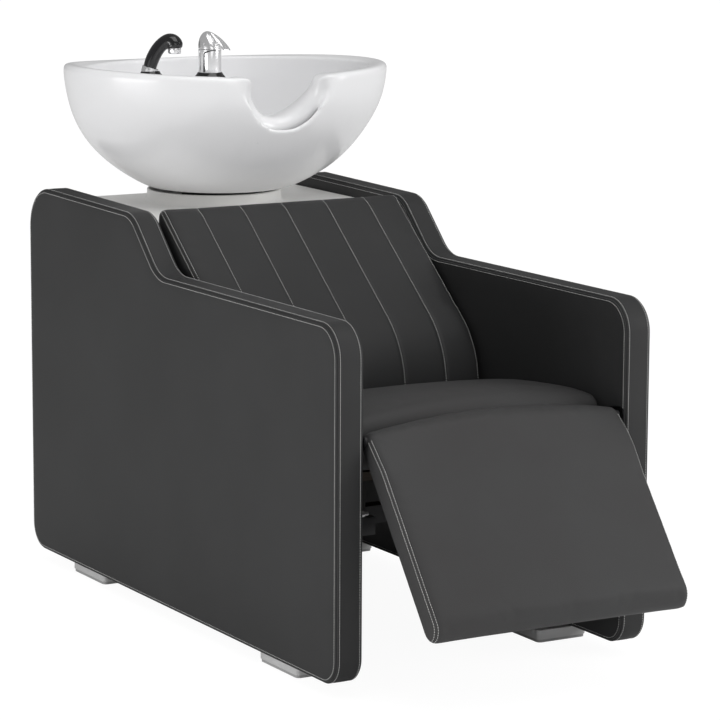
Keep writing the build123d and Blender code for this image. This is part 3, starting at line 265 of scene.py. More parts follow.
finishes = {
    "leatherette": leatherette("panel leatherette", (0.0238, 0.0240, 0.0243), (0.0290, 0.0292, 0.0296)),
    "leather_soft": leatherette("seat leatherette", (0.0380, 0.0368, 0.0372), (0.0415, 0.0418, 0.0422)),
    "ceramic": glaze(),
    "cover_plastic": moulded("cover plastic", (0.88, 0.875, 0.855), (0.91, 0.905, 0.885), 0.25, 0.38),
    "foot_paint": moulded("foot paint", (0.54, 0.54, 0.54), (0.60, 0.60, 0.60), 0.32, 0.46, 500.0, 0.00008),
    "frame_steel": moulded("frame paint", (0.006, 0.006, 0.007), (0.010, 0.010, 0.011), 0.38, 0.52, 700.0),
    "black_plastic": moulded("black plastic", (0.008, 0.008, 0.009), (0.013, 0.013, 0.014), 0.42, 0.55),
    "black_gloss": moulded(
        "glossy black plastic", (0.005, 0.005, 0.0055), (0.008, 0.008, 0.009), 0.10, 0.18, 300.0, 0.00002,
        Coat_Weight=0.5,
    ),
    "glide": moulded("glide plastic", (0.34, 0.34, 0.34), (0.40, 0.40, 0.40), 0.55, 0.70),
    "buffer_rubber": moulded("buffer rubber", (0.010, 0.010, 0.010), (0.018, 0.018, 0.018), 0.65, 0.80),
    "chrome": metal(
        "polished chrome", (0.84, 0.84, 0.85), (0.92, 0.92, 0.93), 0.14, 0.20,
        grain=900.0, depth=0.000002, share=0.82,
    ),
    "zinc_steel": metal("zinc plate", (0.58, 0.58, 0.59), (0.70, 0.70, 0.70), 0.26, 0.42, grain=420.0),
    "brass": metal("turned brass", (0.62, 0.46, 0.20), (0.76, 0.60, 0.30), 0.20, 0.32, (1, 1, 9)),
    # The board's dark tone is painted shade for the gap beside the legrest.
    "board": plywood(),
    # Near-black tone: painted shade for the gap beside the legrest, where this wood shows.
    "stained_board": moulded("beech darkened as painted shade", (0.006, 0.0055, 0.005), (0.012, 0.011, 0.010), 0.55, 0.70, 60.0),
}
thread = sewing_thread()
# Steel toned near black: painted shade for the gap between the near panel and the legrest.
shade_darkened_steel = metal("steel darkened as painted shade", (0.010, 0.010, 0.011), (0.018, 0.018, 0.019), 0.45, 0.60, grain=420.0)
slot_of = {entry["node"]: entry["material_slot"] for entry in frame["record"]["subparts"]}
body_of = {node: nodes[node]["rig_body"] for node in nodes}
for node, obj in nodes.items():
    obj.data.materials.clear()
    obj.data.materials.append(finishes[slot_of[node]])
# Parts that show in that gap get the darkened steel as painted shade, in place of their own finish.
for node in ("pivot_washers", "pivot_studs", "left_leg_bracket", "right_leg_bracket"):
    nodes[node].data.materials[0] = shade_darkened_steel


# Mesh helpers
def link(name, mesh):
    made = bpy.data.objects.new(name, mesh)
    bpy.context.scene.collection.objects.link(made)
    return made


def points_of(mesh):
    flat = np.zeros(len(mesh.vertices) * 3)
    mesh.vertices.foreach_get("co", flat)
    return flat.reshape(-1, 3)


def normals_of(mesh):
    flat = np.zeros(len(mesh.vertices) * 3)
    mesh.vertex_normals.foreach_get("vector", flat)
    return flat.reshape(-1, 3)


def set_points(mesh, points):
    mesh.vertices.foreach_set("co", np.ascontiguousarray(points).ravel())
    mesh.update()


def merged_copy(name, node):
    """Copy of a CAD node's loose triangles with its doubles merged."""
    mesh = nodes[node].data.copy()
    mesh.materials.clear()
    work = bmesh.new()
    work.from_mesh(mesh)
    bmesh.ops.remove_doubles(work, verts=work.verts, dist=0.00001)
    work.to_mesh(mesh)
    work.free()
    if "custom_normal" in mesh.attributes:
        mesh.attributes.remove(mesh.attributes["custom_normal"])
    return link(name, mesh)


def applied(obj):
    """Turns the object with its modifiers into a plain mesh."""
    dg = bpy.context.evaluated_depsgraph_get()
    mesh = bpy.data.meshes.new_from_object(obj.evaluated_get(dg))
    obj.modifiers.clear()
    old = obj.data
    obj.data = mesh
    bpy.data.meshes.remove(old)
    return obj


def smooth_shading(obj, angle=None):
    """Smooth shading, with edges past the angle in degrees kept sharp."""
    obj.data.shade_smooth()
    if angle is not None:
        obj.data.set_sharp_from_angle(angle=math.radians(angle))


def dress(obj, body, slot, *stands_for):
    """Gives a finished piece its body and the material of its slot, and hides what it stands for."""
    obj.data.materials.clear()
    obj.data.materials.append(finishes[slot])
    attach(obj, body)
    if stands_for:
        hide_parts(*stands_for)
    return obj


def closed_mesh(name, points, faces):
    """New object from points and faces, with its faces turned outwards."""
    mesh = bpy.data.meshes.new(name)
    mesh.from_pydata([tuple(p) for p in points], [], faces)
    work = bmesh.new()
    work.from_mesh(mesh)
    bmesh.ops.recalc_face_normals(work, faces=work.faces)
    work.to_mesh(mesh)
    work.free()
    return link(name, mesh)


def ring_faces(rings, count, first_cap=True):
    """Faces between closed rings of count points each, one after another, with a cap at the ends."""
    faces = []
    for ring in range(rings - 1):
        for k in range(count):
            n = (k + 1) % count
            faces.append((ring * count + k, ring * count + n, (ring + 1) * count + n, (ring + 1) * count + k))
    if first_cap:
        faces.append(tuple(range(count - 1, -1, -1)))
    faces.append(tuple((rings - 1) * count + k for k in range(count)))
    return faces


def remeshed(obj, voxel, rounds, factor):
    """The object's surface made anew in even faces, then evened out."""
    grid = obj.modifiers.new("grid", "REMESH")
    grid.mode = "VOXEL"
    grid.voxel_size = voxel
    relax = obj.modifiers.new("relax", "SMOOTH")
    relax.iterations = rounds
    relax.factor = factor
    return applied(obj)


def bevelled(node, width, angle=35, segments=3):
    """Merged copy of a rigid node whose hard edges get a small round."""
    obj = merged_copy(node + "_finished", node)
    work = bmesh.new()
    work.from_mesh(obj.data)
    bmesh.ops.dissolve_limit(work, angle_limit=math.radians(1), verts=work.verts, edges=work.edges)
    work.to_mesh(obj.data)
    work.free()
    soft = obj.modifiers.new("edge", "BEVEL")
    soft.width = width
    soft.segments = segments
    soft.limit_method = "ANGLE"
    soft.angle_limit = math.radians(angle)
    soft.use_clamp_overlap = True
    applied(obj)
    smooth_shading(obj, 30)
    return dress(obj, body_of[node], slot_of[node], node)


def corner_line(corners, radii, step, closed=True):
    """Outline through corners with rounded turns: points and outward normals, corners given clockwise."""
    corners = [np.array(c, float) for c in corners]
    count = len(corners)
    points, normals = [], []
    for i, corner in enumerate(corners):
        before, after = corners[i - 1], corners[(i + 1) % count]
        if not closed and i in (0, count - 1):
            way = (after - corner) if i == 0 else (corner - before)
            way = way / np.linalg.norm(way)
            points.append(corner)
            normals.append(np.array([-way[1], way[0]]))
            continue
        into = (corner - before) / np.linalg.norm(corner - before)
        out = (after - corner) / np.linalg.norm(after - corner)
        turn = math.atan2(into[0] * out[1] - into[1] * out[0], into @ out)
        radius = radii[i]
        left_in, left_out = np.array([-into[1], into[0]]), np.array([-out[1], out[0]])
        if radius <= 0 or abs(turn) < 1e-6:
            points.append(corner)
            mean = left_in + left_out
            normals.append(mean / np.linalg.norm(mean))
            continue
        reach = radius * math.tan(abs(turn) / 2)
        sign = 1 if turn < 0 else -1
        centre = corner - into * reach - sign * left_in * radius
        steps = max(4, int(abs(turn) * radius / step) + 1)
        for k in range(steps + 1):
            angle = -sign * abs(turn) * k / steps
            c, s = math.cos(angle), math.sin(angle)
            normal = np.array([left_in[0] * c - left_in[1] * s, left_in[0] * s + left_in[1] * c])
            points.append(centre + sign * normal * radius)
            normals.append(normal)
    full_points, full_normals = [], []
    total = len(points)
    for i in range(total if closed else total - 1):
        a, b = points[i], points[(i + 1) % total]
        na, nb = normals[i], normals[(i + 1) % total]
        run = np.linalg.norm(b - a)
        parts = max(1, int(run / (step * 1.5)))
        for k in range(parts):
            t = k / parts
            full_points.append(a + (b - a) * t)
            mean = na * (1 - t) + nb * t
            full_normals.append(mean / np.linalg.norm(mean))
    if not closed:
        full_points.append(points[-1])
        full_normals.append(normals[-1])
    return np.array(full_points), np.array(full_normals)


# Stitching
def stitch_tree():
    """Geometry nodes that lay one stitch after another along a seam line."""
    tree = bpy.data.node_groups.new("Stitch row", "GeometryNodeTree")
    face = tree.interface
    face.new_socket("Seam", in_out="INPUT", socket_type="NodeSocketGeometry")
    for label in ("Pitch", "Stitch length", "Thread radius"):
        face.new_socket(label, in_out="INPUT", socket_type="NodeSocketFloat")
    face.new_socket("Thread", in_out="INPUT", socket_type="NodeSocketMaterial")
    face.new_socket("Stitches", in_out="OUTPUT", socket_type="NodeSocketGeometry")
    add = tree.nodes.new
    ins, outs = add("NodeGroupInput"), add("NodeGroupOutput")
    curve = add("GeometryNodeMeshToCurve")
    spots = add("GeometryNodeCurveToPoints")
    spots.mode = "LENGTH"
    bead = add("GeometryNodeMeshUVSphere")
    bead.inputs["Segments"].default_value = 5
    bead.inputs["Rings"].default_value = 4
    bead.inputs["Radius"].default_value = 1.0
    turn = add("FunctionNodeAlignRotationToVector")
    turn.axis = "Z"
    size = add("ShaderNodeCombineXYZ")
    half = add("ShaderNodeMath")
    half.operation = "MULTIPLY"
    vary = add("FunctionNodeRandomValue")
    vary.data_type = "FLOAT"
    vary.inputs["Min"].default_value = 0.46
    vary.inputs["Max"].default_value = 0.54
    vary.inputs["Seed"].default_value = 7
    lay = add("GeometryNodeInstanceOnPoints")
    real = add("GeometryNodeRealizeInstances")
    smooth = add("GeometryNodeSetShadeSmooth")
    paint = add("GeometryNodeSetMaterial")
    join = tree.links.new
    join(ins.outputs["Seam"], curve.inputs[0])
    join(curve.outputs[0], spots.inputs["Curve"])
    join(ins.outputs["Pitch"], spots.inputs["Length"])
    join(spots.outputs["Points"], lay.inputs["Points"])
    join(spots.outputs["Tangent"], turn.inputs["Vector"])
    join(turn.outputs["Rotation"], lay.inputs["Rotation"])
    join(ins.outputs["Thread radius"], size.inputs["X"])
    join(ins.outputs["Thread radius"], size.inputs["Y"])
    join(ins.outputs["Stitch length"], half.inputs[0])
    join(vary.outputs["Value"], half.inputs[1])
    join(half.outputs[0], size.inputs["Z"])
    join(size.outputs[0], lay.inputs["Scale"])
    join(bead.outputs["Mesh"], lay.inputs["Instance"])
    join(lay.outputs[0], real.inputs[0])
    join(real.outputs[0], smooth.inputs[0])
    join(smooth.outputs[0], paint.inputs["Geometry"])
    join(ins.outputs["Thread"], paint.inputs["Material"])
    join(paint.outputs[0], outs.inputs["Stitches"])
    return tree


stitching = stitch_tree()


def sew_rows(name, rows, body, pitch=4.4 * MM, length=2.8 * MM, radius=0.52 * MM):
    """One mesh of stitches along rows, each a list of points and whether it closes."""
    points, edges = [], []
    for line, closed in rows:
        start = len(points)
        points += [tuple(p) for p in line]
        edges += [(start + i, start + i + 1) for i in range(len(line) - 1)]
        if closed:
            edges.append((len(points) - 1, start))
    mesh = bpy.data.meshes.new(name)
    mesh.from_pydata(points, edges, [])
    seam = link(name, mesh)
    mod = seam.modifiers.new("stitches", "NODES")
    mod.node_group = stitching
    values = {"Pitch": pitch, "Stitch length": length, "Thread radius": radius, "Thread": thread}
    for item in stitching.interface.items_tree:
        if item.in_out == "INPUT" and item.name in values:
            mod[item.identifier] = values[item.name]
    applied(seam)
    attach(seam, body)
    return seam


# Side panels
# Setback and height of each corner of the panel's side view, in mm, and the round at it
PANEL_CORNERS = ((0, 22.5), (0, 628.5), (654, 624.5), (760, 725.5), (1205, 731.5), (1205, 22.5))
PANEL_ROUNDS = (45, 58, 80, 70, 80, 48)
# The edge's round, how far it stands inside the CAD box, and how far the face swells past it, in mm
EDGE_RADIUS = 7
EDGE_INSET = 0.4
FACE_SWELL = 0.9
# Round the edge in degrees from the strip to the face: the seam's groove, the puffs beside it and the two sewn rows
SEAM_DEGREES, SEAM_WIDTH, SEAM_DEPTH = 45, 7, 1.5
PUFF_DEGREES, PUFF_WIDTH, PUFF_HEIGHT = (22, 68), 12, 0.35
SEWN_DEGREES = (4, 88)


def hump(value, middle, width):
    """Bell of height 1 round the middle."""
    return math.exp(-(((value - middle) / width) ** 2))


def edge_point(half, degrees, reach):
    """Distance in from the outline and out from the middle, at an angle round the edge, in metres."""
    angle = math.radians(degrees)
    radius = EDGE_RADIUS * MM
    return (
        EDGE_INSET * MM + radius - reach * math.cos(angle),
        half - FACE_SWELL * MM - radius + reach * math.sin(angle),
    )


def panel_section(half):
    """Half of the panel's edge section, from the middle of the strip over the seam to the face."""
    rows = [(0.0, 0.0), (0.05 * MM, half * 0.35), (0.25 * MM, half * 0.55)]
    for degrees in range(0, 91, 5):
        groove = SEAM_DEPTH * hump(degrees, SEAM_DEGREES, SEAM_WIDTH)
        puff = sum(PUFF_HEIGHT * hump(degrees, middle, PUFF_WIDTH) for middle in PUFF_DEGREES)
        rows.append(edge_point(half, degrees, EDGE_RADIUS * MM + (puff - groove) * MM))
    for inwards in (10, 14, 19, 25, 32, 40):
        rows.append((inwards * MM, half - FACE_SWELL * MM * math.exp(-(inwards - EDGE_RADIUS) / 9)))
    return rows


def side_panel(side):
    """Upholstered panel: strip round the edge, groove at both seams, and faces that swell a little."""
    low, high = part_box(f"{side}_panel_cover")
    middle, half = (low.x + high.x) / 2, (high.x - low.x) / 2
    corners = [(FRONT + y * MM, z * MM) for y, z in PANEL_CORNERS]
    line, normals = corner_line(corners, [radius * MM for radius in PANEL_ROUNDS], 6 * MM)
    section = panel_section(half)
    full = [(inwards, -across) for inwards, across in reversed(section)] + section[1:]
    count = len(line)
    points = [
        (middle + across, *(line[i] - normals[i] * inwards)) for inwards, across in full for i in range(count)
    ]
    obj = closed_mesh(f"{side}_panel", points, ring_faces(len(full), count))
    smooth_shading(obj)
    dress(obj, "chassis", "leatherette", f"{side}_panel_cover")
    lift = 0.15 * MM
    rows = []
    for sign in (-1, 1):
        for degrees in SEWN_DEGREES:
            inwards, across = edge_point(half, degrees, EDGE_RADIUS * MM + lift)
            rows.append(([(middle + sign * across, *(line[i] - normals[i] * inwards)) for i in range(count)], True))
    sew_rows(f"{side}_panel_stitches", rows, "chassis")


side_panel("left")
side_panel("right")


# Cushions
CLOTH_STEPS = 20


def stuffed(name, node, shrink, voxel, swell, held=None, start=None):
    """A cushion's start shape, remeshed smaller, then blown up as cloth with a cap on how far a point moves."""
    obj = merged_copy(name, node) if start is None else start
    low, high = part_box(node)
    centre = np.array((low + high) / 2)
    size = np.array(high - low)
    points = points_of(obj.data)
    set_points(obj.data, centre + (points - centre) * (1 - 2 * shrink / size))
    remeshed(obj, voxel, 4, 0.5)
    rest = points_of(obj.data)
    pins = obj.vertex_groups.new(name="held")
    if held is not None:
        for index in np.nonzero(held(rest))[0]:
            pins.add([int(index)], 1.0, "REPLACE")
    cloth = obj.modifiers.new("cloth", "CLOTH")
    cloth.settings.quality = 4
    cloth.settings.mass = 0.3
    cloth.settings.use_pressure = True
    cloth.settings.uniform_pressure_force = 4.0
    cloth.settings.effector_weights.gravity = 0.0
    cloth.settings.vertex_group_mass = "held"
    cloth.point_cache.frame_start = 1
    cloth.point_cache.frame_end = CLOTH_STEPS
    scene = bpy.context.scene
    for step in range(1, CLOTH_STEPS + 1):
        scene.frame_set(step)
    dg = bpy.context.evaluated_depsgraph_get()
    blown = bpy.data.meshes.new_from_object(obj.evaluated_get(dg))
    moved = points_of(blown) - rest
    bpy.data.meshes.remove(blown)
    far = np.linalg.norm(moved, axis=1, keepdims=True)
    obj.modifiers.clear()
    obj.vertex_groups.clear()
    set_points(obj.data, rest + moved * np.minimum(1, swell / np.maximum(far, 1e-9)))
    scene.frame_set(1)
    even = obj.modifiers.new("even", "SMOOTH")
    even.iterations = 3
    even.factor = 0.5
    applied(obj)
    finer = obj.modifiers.new("finer", "SUBSURF")
    finer.levels = finer.render_levels = 1
    applied(obj)
    smooth_shading(obj)
    return obj


def surface(obj):
    """The object's faces as a tree for finding the nearest point."""
    work = bmesh.new()
    work.from_mesh(obj.data)
    tree = BVHTree.FromBMesh(work)
    work.free()
    return tree


def draw_in(obj, line, depth, width):
    """Presses a seam line into the surface."""
    found = KDTree(len(line))
    for i, p in enumerate(line):
        found.insert(Vector(p), i)
    found.balance()
    points, normals = points_of(obj.data), normals_of(obj.data)
    for i, p in enumerate(points):
        gap = found.find(Vector(p))[2]
        if gap < 3 * width:
            points[i] = p - normals[i] * depth * math.exp(-((gap / width) ** 2))
    set_points(obj.data, points)


def on_surface(tree, line, lift=0.1 * MM):
    """The line moved onto the nearest surface and lifted a little."""
    laid = []
    for p in line:
        where, normal, _, _ = tree.find_nearest(Vector(p))
        laid.append(where + normal * lift)
    return laid


def fill_in(line, step=2 * MM):
    """The same line with points no further apart than step."""
    dense = [np.array(line[0], float)]
    for a, b in zip(line, line[1:]):
        a, b = np.array(a, float), np.array(b, float)
        parts = max(1, int(np.linalg.norm(b - a) / step))
        dense += [a + (b - a) * (k + 1) / parts for k in range(parts)]
    return dense


seat_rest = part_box("seat_cushion")[0].z + 9 * MM
seat = stuffed(
    "seat_padding",
    "seat_cushion",
    shrink=2.5 * MM,
    voxel=6 * MM,
    swell=3.5 * MM,
    held=lambda p: p[:, 2] < seat_rest,
)
dress(seat, "chassis", "leather_soft", "seat_cushion")

# The back's sloping face: its angle, where it meets the seat, and its top, as setback and height in mm
SLOPE = math.radians(38.4)
SLOPE_START, SLOPE_START_HEIGHT = 448.5, 488.5
SLOPE_TOP = 782
BACK_FOOT = 360
SEAT_CREASE_ROUND, TOP_ROUND = 165, 18
# Across from the middle: the five channels, the side seams, and the sewn rows before and behind each
CHANNELS = (-175, -87.5, 0, 87.5, 175)
BACK_SEAM, BACK_FACE_ROW, BACK_SIDE_ROW = 251, 245, 254


def slope_point(along, depth):
    """Side-view point at a setback on the line depth behind the back's sloping face."""
    rise = (along - SLOPE_START) * math.tan(SLOPE)
    return FRONT + along * MM, (SLOPE_START_HEIGHT + rise - depth / math.cos(SLOPE)) * MM


back = stuffed("back_padding", "back_cushion", shrink=2.5 * MM, voxel=6 * MM, swell=3.0 * MM)
back_line, _ = corner_line(
    [
        (FRONT + SLOPE_START * MM, BACK_FOOT * MM),
        slope_point(SLOPE_START, 0),
        slope_point(SLOPE_TOP, 0),
        slope_point(SLOPE_TOP, 40),
    ],
    [0, SEAT_CREASE_ROUND * MM, TOP_ROUND * MM, 0],
    3 * MM,
    closed=False,
)


def back_row(x, behind=0):
    """The back's side-view line at one place across, moved behind its face by so many mm both ways."""
    return [(x * MM, y + behind * MM, z - behind * MM) for y, z in back_line]


for x in CHANNELS:
    draw_in(back, back_row(x), depth=2.4 * MM, width=3.6 * MM)
for x in (-BACK_SEAM, BACK_SEAM):
    draw_in(back, back_row(x), depth=1.6 * MM, width=2.5 * MM)
back_surface = surface(back)
sewn = [back_row(x) for x in (*CHANNELS, -BACK_FACE_ROW, BACK_FACE_ROW)]
sewn += [back_row(x, 5) for x in (-BACK_SIDE_ROW, BACK_SIDE_ROW)]
back_rows = [(on_surface(back_surface, fill_in(line)), False) for line in sewn]
dress(back, "chassis", "leather_soft", "back_cushion")
# The back gets a darker copy of the seat leatherette: painted shade for the shadow the basin casts on it.
back.data.materials[0] = leatherette("back leatherette in painted shade", (0.0250, 0.0252, 0.0255), (0.0290, 0.0292, 0.0296))
sew_rows("back_stitches", back_rows, "chassis")

# The legrest: its lean, its pivot as setback and height, and the marks of its side outline, in mm
LEAN = math.radians(52.5)
PIVOT_SETBACK, PIVOT_HEIGHT = 15, 430.5
LEG_UNDER = 25
LEG_SWELL = 1.5
# Height at the sides and what the crown adds: at the pivot end, the shoulder and the toe
LEG_HEIGHTS = ((12, 33), (25, 16), (25, 8))
LEG_SHOULDER = 70
LEG_TOE, TOE_ROUND = 338, 30
LEG_HEEL, HEEL_ROUND = 344, 24
LEG_END = LEG_TOE + TOE_ROUND
LEG_SIDE_ROUND = 9.0
# Where its seams are drawn in, and the sewn rows on the face and on the side of each, across from the middle
LEG_SEAM, LEG_FACE_ROW, LEG_SIDE_ROW = 250.5, 245.5, 256


def leg_point(along, above):
    """Side-view point of the legrest, along it from its pivot and above its middle plane."""
    return (
        FRONT + (PIVOT_SETBACK - along * math.cos(LEAN) - above * math.sin(LEAN)) * MM,
        (PIVOT_HEIGHT - along * math.sin(LEAN) + above * math.cos(LEAN)) * MM,
    )


def leg_profile(share):
    """Side outline of the legrest where its crown has this share of the full height, as along and above."""
    top, shoulder, toe = (side + crown * share for side, crown in LEG_HEIGHTS)
    outline = []
    reach = (top + LEG_UNDER) / 2
    for k in range(17):
        turn = math.pi * (k / 16 - 0.5)
        outline.append((-reach * math.cos(turn), (top - LEG_UNDER) / 2 + reach * math.sin(turn)))
    for k in range(1, 9):
        t = k / 8
        outline.append((LEG_SHOULDER * t, top + (shoulder - top) * (1.6 * t - 0.6 * t * t)))
    for k in range(1, 29):
        t = k / 28
        swell = LEG_SWELL * math.sin(math.pi * t) * share
        outline.append((LEG_SHOULDER + (LEG_TOE - LEG_SHOULDER) * t, shoulder + (toe - shoulder) * t + swell))
    for k in range(1, 13):
        turn = math.pi / 2 * (1 - k / 12)
        outline.append((LEG_TOE + TOE_ROUND * math.cos(turn), toe - TOE_ROUND + TOE_ROUND * math.sin(turn)))
    for k in range(0, 9):
        turn = -math.pi / 2 * k / 8
        outline.append((LEG_HEEL + HEEL_ROUND * math.cos(turn), HEEL_ROUND - LEG_UNDER + HEEL_ROUND * math.sin(turn)))
    for k in range(1, 34):
        outline.append((LEG_HEEL - LEG_HEEL * k / 34, -LEG_UNDER))
    return np.array(outline)


def leg_shell():
    """Closed shell of the legrest: outlines side by side across its width, drawn in where its two sides round off."""
    low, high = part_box("legrest_cushion")
    half = (high.x - low.x) / 2 / MM
    edge = LEG_SIDE_ROUND
    stations = [(x, 0.0) for x in np.linspace(-(half - edge), half - edge, 65)]
    for turn in [math.radians(d) for d in range(15, 91, 15)]:
        x, inset = half - edge + edge * math.sin(turn), edge * (1 - math.cos(turn))
        stations.append((x, inset))
        stations.insert(0, (-x, inset))
    points = []
    for x, inset in stations:
        outline = leg_profile(1 - (x / half) ** 2)
        ahead = np.roll(outline, -1, axis=0) - np.roll(outline, 1, axis=0)
        inwards = np.stack([ahead[:, 1], -ahead[:, 0]], axis=1)
        inwards /= np.linalg.norm(inwards, axis=1, keepdims=True)
        points += [(x * MM, *leg_point(a, b)) for a, b in outline + inwards * inset]
    return closed_mesh("legrest_padding", points, ring_faces(len(stations), len(outline)))


leg = stuffed(
    "legrest_padding", "legrest_cushion", shrink=1.5 * MM, voxel=5 * MM, swell=3.0 * MM, start=leg_shell()
)
leg_line, leg_normals = corner_line(
    [leg_point(LEG_END, -LEG_UNDER), leg_point(LEG_END, 25), leg_point(LEG_SHOULDER, 25), leg_point(6, 16)],
    [15 * MM, 29 * MM, 120 * MM, 0],
    4 * MM,
    closed=False,
)
for x in (-LEG_SEAM, LEG_SEAM):
    draw_in(leg, [(x * MM, y, z) for y, z in leg_line], depth=1.6 * MM, width=2.5 * MM)
leg_surface = surface(leg)
leg_rows = []
for way in (-1, 1):
    face_row = [(way * LEG_FACE_ROW * MM, y, z) for y, z in leg_line]
    side_row = [(way * LEG_SIDE_ROW * MM, *(p - n * 5 * MM)) for p, n in zip(leg_line, leg_normals)]
    leg_rows += [(on_surface(leg_surface, fill_in(row)), False) for row in (face_row, side_row)]
dress(leg, "legrest", "leather_soft", "legrest_cushion")
sew_rows("legrest_stitches", leg_rows, "legrest")


# Basin
def eased(value, start, end):
    """0 before start, 1 past end, soft between."""
    t = np.clip((value - start) / (end - start), 0, 1)
    return t * t * (3 - 2 * t)


def softened(obj, group, weights, rounds, factor=0.6):
    """Evens the surface by so many rounds where the weights stand."""
    held = obj.vertex_groups.new(name=group)
    for index in np.nonzero(weights > 0.02)[0]:
        held.add([int(index)], float(weights[index]), "REPLACE")
    even = obj.modifiers.new(group, "SMOOTH")
    even.factor = factor
    even.iterations = rounds
    even.vertex_group = group
    applied(obj)
    obj.vertex_groups.clear()


# Basin marks in mm. The neck rest's roll and its path:
NECK_HALF = 80
ROLL_RADIUS = 22
ROLL_LEAN = math.radians(22)
ROLL_SETBACK = 749
RIM_HEIGHT = 965
ROLL_STRAIGHT, ROLL_DROP = 23.7, 85.2
NECK_SHIFT, NECK_SHIFT_START = 40, -12
# The crest's rise at the two sides, its fall at the rear, and how far the rim flares beside the neck
CREST_LEFT, CREST_RIGHT = 11.5, 5.0
REAR_FALL = 2.0
FLARE = 9
# From and to, where each change comes in: by height, by share of the plan, by setback or by distance across
RIM_HEIGHTS, RIM_SHARES = (870, 958), (0.87, 0.96)
REAR_SETBACKS, NECK_SETBACKS = (1050, 1250), (850, 900)
INNER_HEIGHTS, FLARE_HEIGHTS = (800, 862), (890, 955)
FLARE_STARTS, FLARE_ENDS = (20, 70), (90, 185)
# What is evened out: middle as distance across, setback and height, and the distances between which it fades,
# reaching further in depth at the corner and across at the fold by these factors
CORNER, CORNER_FADE, CORNER_DEEPER = (78, 755, 952), (26, 46), 1.3
FOLD, FOLD_FADE, FOLD_WIDER = (0, 775, 865), (60, 95), 1.2


def basin_shape(x, behind, z, low, high):
    """New x, setback and height of basin points in mm: crest swung up, neck rest moved back, rim flared at the neck."""
    half_wide = (high.x - low.x) / 2 / MM
    half_deep = (high.y - low.y) / 2 / MM
    middle = ((high.y + low.y) / 2 - FRONT) / MM
    reach = np.sqrt((x / half_wide) ** 2 + ((behind - middle) / half_deep) ** 2)
    swing = np.where(x < 0, CREST_LEFT, CREST_RIGHT) * (x / half_wide) ** 2 - REAR_FALL * eased(behind, *REAR_SETBACKS)
    rise = swing * eased(z, *RIM_HEIGHTS) * eased(reach, *RIM_SHARES)
    near_neck = 1 - eased(behind, *NECK_SETBACKS)
    bell = np.sqrt(np.clip(1 - (x / NECK_HALF) ** 2, 0, 1))
    roll_behind = ROLL_SETBACK + (ROLL_STRAIGHT + ROLL_DROP * bell) * math.sin(ROLL_LEAN)
    inner = eased(behind - roll_behind, NECK_SHIFT_START, ROLL_RADIUS) * bell**1.5
    inner = inner * near_neck * eased(z, *INNER_HEIGHTS)
    turn_in = np.clip(NECK_HALF - np.abs(x), 0, ROLL_RADIUS - 0.1)
    ceiling = np.where(turn_in > 0, RIM_HEIGHT - ROLL_RADIUS + np.sqrt(ROLL_RADIUS**2 - turn_in**2), 2000)
    raised = np.where(near_neck > 0.5, np.minimum(z, ceiling), z) + rise
    flare = eased(np.abs(x), *FLARE_STARTS) * (1 - eased(np.abs(x), *FLARE_ENDS))
    flare = flare * eased(z, *FLARE_HEIGHTS) * near_neck
    return x + np.sign(x) * FLARE * flare, behind + NECK_SHIFT * inner, raised


def glazed_basin():
    """Basin whose crest swings up to the sides and whose neck rest lies back and runs out softly into the rim."""
    obj = remeshed(merged_copy("basin_glazed", "basin"), 3.0 * MM, 6, 0.6)
    points = points_of(obj.data)
    x, behind, z = points[:, 0] / MM, (points[:, 1] - FRONT) / MM, points[:, 2] / MM
    new_x, new_behind, new_z = basin_shape(x, behind, z, *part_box("basin"))
    set_points(obj.data, np.stack([new_x * MM, FRONT + new_behind * MM, new_z * MM], axis=1))
    depth = (behind - CORNER[1]) / CORNER_DEEPER
    corner = np.sqrt((np.abs(x) - CORNER[0]) ** 2 + depth**2 + (z - CORNER[2]) ** 2)
    softened(obj, "corners", 1 - eased(corner, *CORNER_FADE), rounds=40)
    below = np.sqrt(((x - FOLD[0]) / FOLD_WIDER) ** 2 + (behind - FOLD[1]) ** 2 + (z - FOLD[2]) ** 2)
    softened(obj, "fold", 1 - eased(below, *FOLD_FADE), rounds=16)
    smooth_shading(obj)
    return dress(obj, "basin", "ceramic", "basin")


glazed_basin()

for node in ("front_left_foot", "front_right_foot", "rear_left_foot", "rear_right_foot"):
    bevelled(node, 1.2 * MM)
for node in ("top_cover", "mixer_body", "spray_collar", "stop_studs", "rail_plugs"):
    bevelled(node, 0.5 * MM)


# Taps
def lathe(name, profile, centre, axis=(0, 0, 1), turns=64):
    """Turned piece from radius and height pairs in mm, the first and last closed with a cap."""
    axis = Vector(axis).normalized()
    side = axis.orthogonal().normalized()
    other = axis.cross(side)
    points = []
    for radius, height in profile:
        for k in range(turns):
            angle = 2 * math.pi * k / turns
            out = side * math.cos(angle) + other * math.sin(angle)
            points.append(centre + axis * height * MM + out * radius * MM)
    obj = closed_mesh(name, points, ring_faces(len(profile), turns))
    smooth_shading(obj, 50)
    return obj


def steps_along(path):
    """Each point of a path with the way it heads there."""
    last = len(path) - 1
    for i, p in enumerate(path):
        yield p, (path[min(i + 1, last)] - path[max(i - 1, 0)]).normalized()


def swept(name, path, radii, turns=40):
    """Round bar along a path in one plane, with its own radius at every point."""
    flat = (path[1] - path[0]).cross(path[-1] - path[0]).normalized()
    points = []
    for (p, ahead), radius in zip(steps_along(path), radii):
        side = ahead.cross(flat)
        for k in range(turns):
            angle = 2 * math.pi * k / turns
            points.append(p + (side * math.cos(angle) + flat * math.sin(angle)) * radius)
    return closed_mesh(name, points, ring_faces(len(path), turns))


def foot_of(node):
    """Middle of a fitting's footprint on the tap deck."""
    low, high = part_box(node)
    return Vector(((low.x + high.x) / 2, (low.y + high.y) / 2, DECK))


HEADING = math.radians(-28)
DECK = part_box("mixer_ring")[0].z
ahead_of = Vector((math.cos(HEADING), math.sin(HEADING), 0))
across_of = Vector((-math.sin(HEADING), math.cos(HEADING), 0))

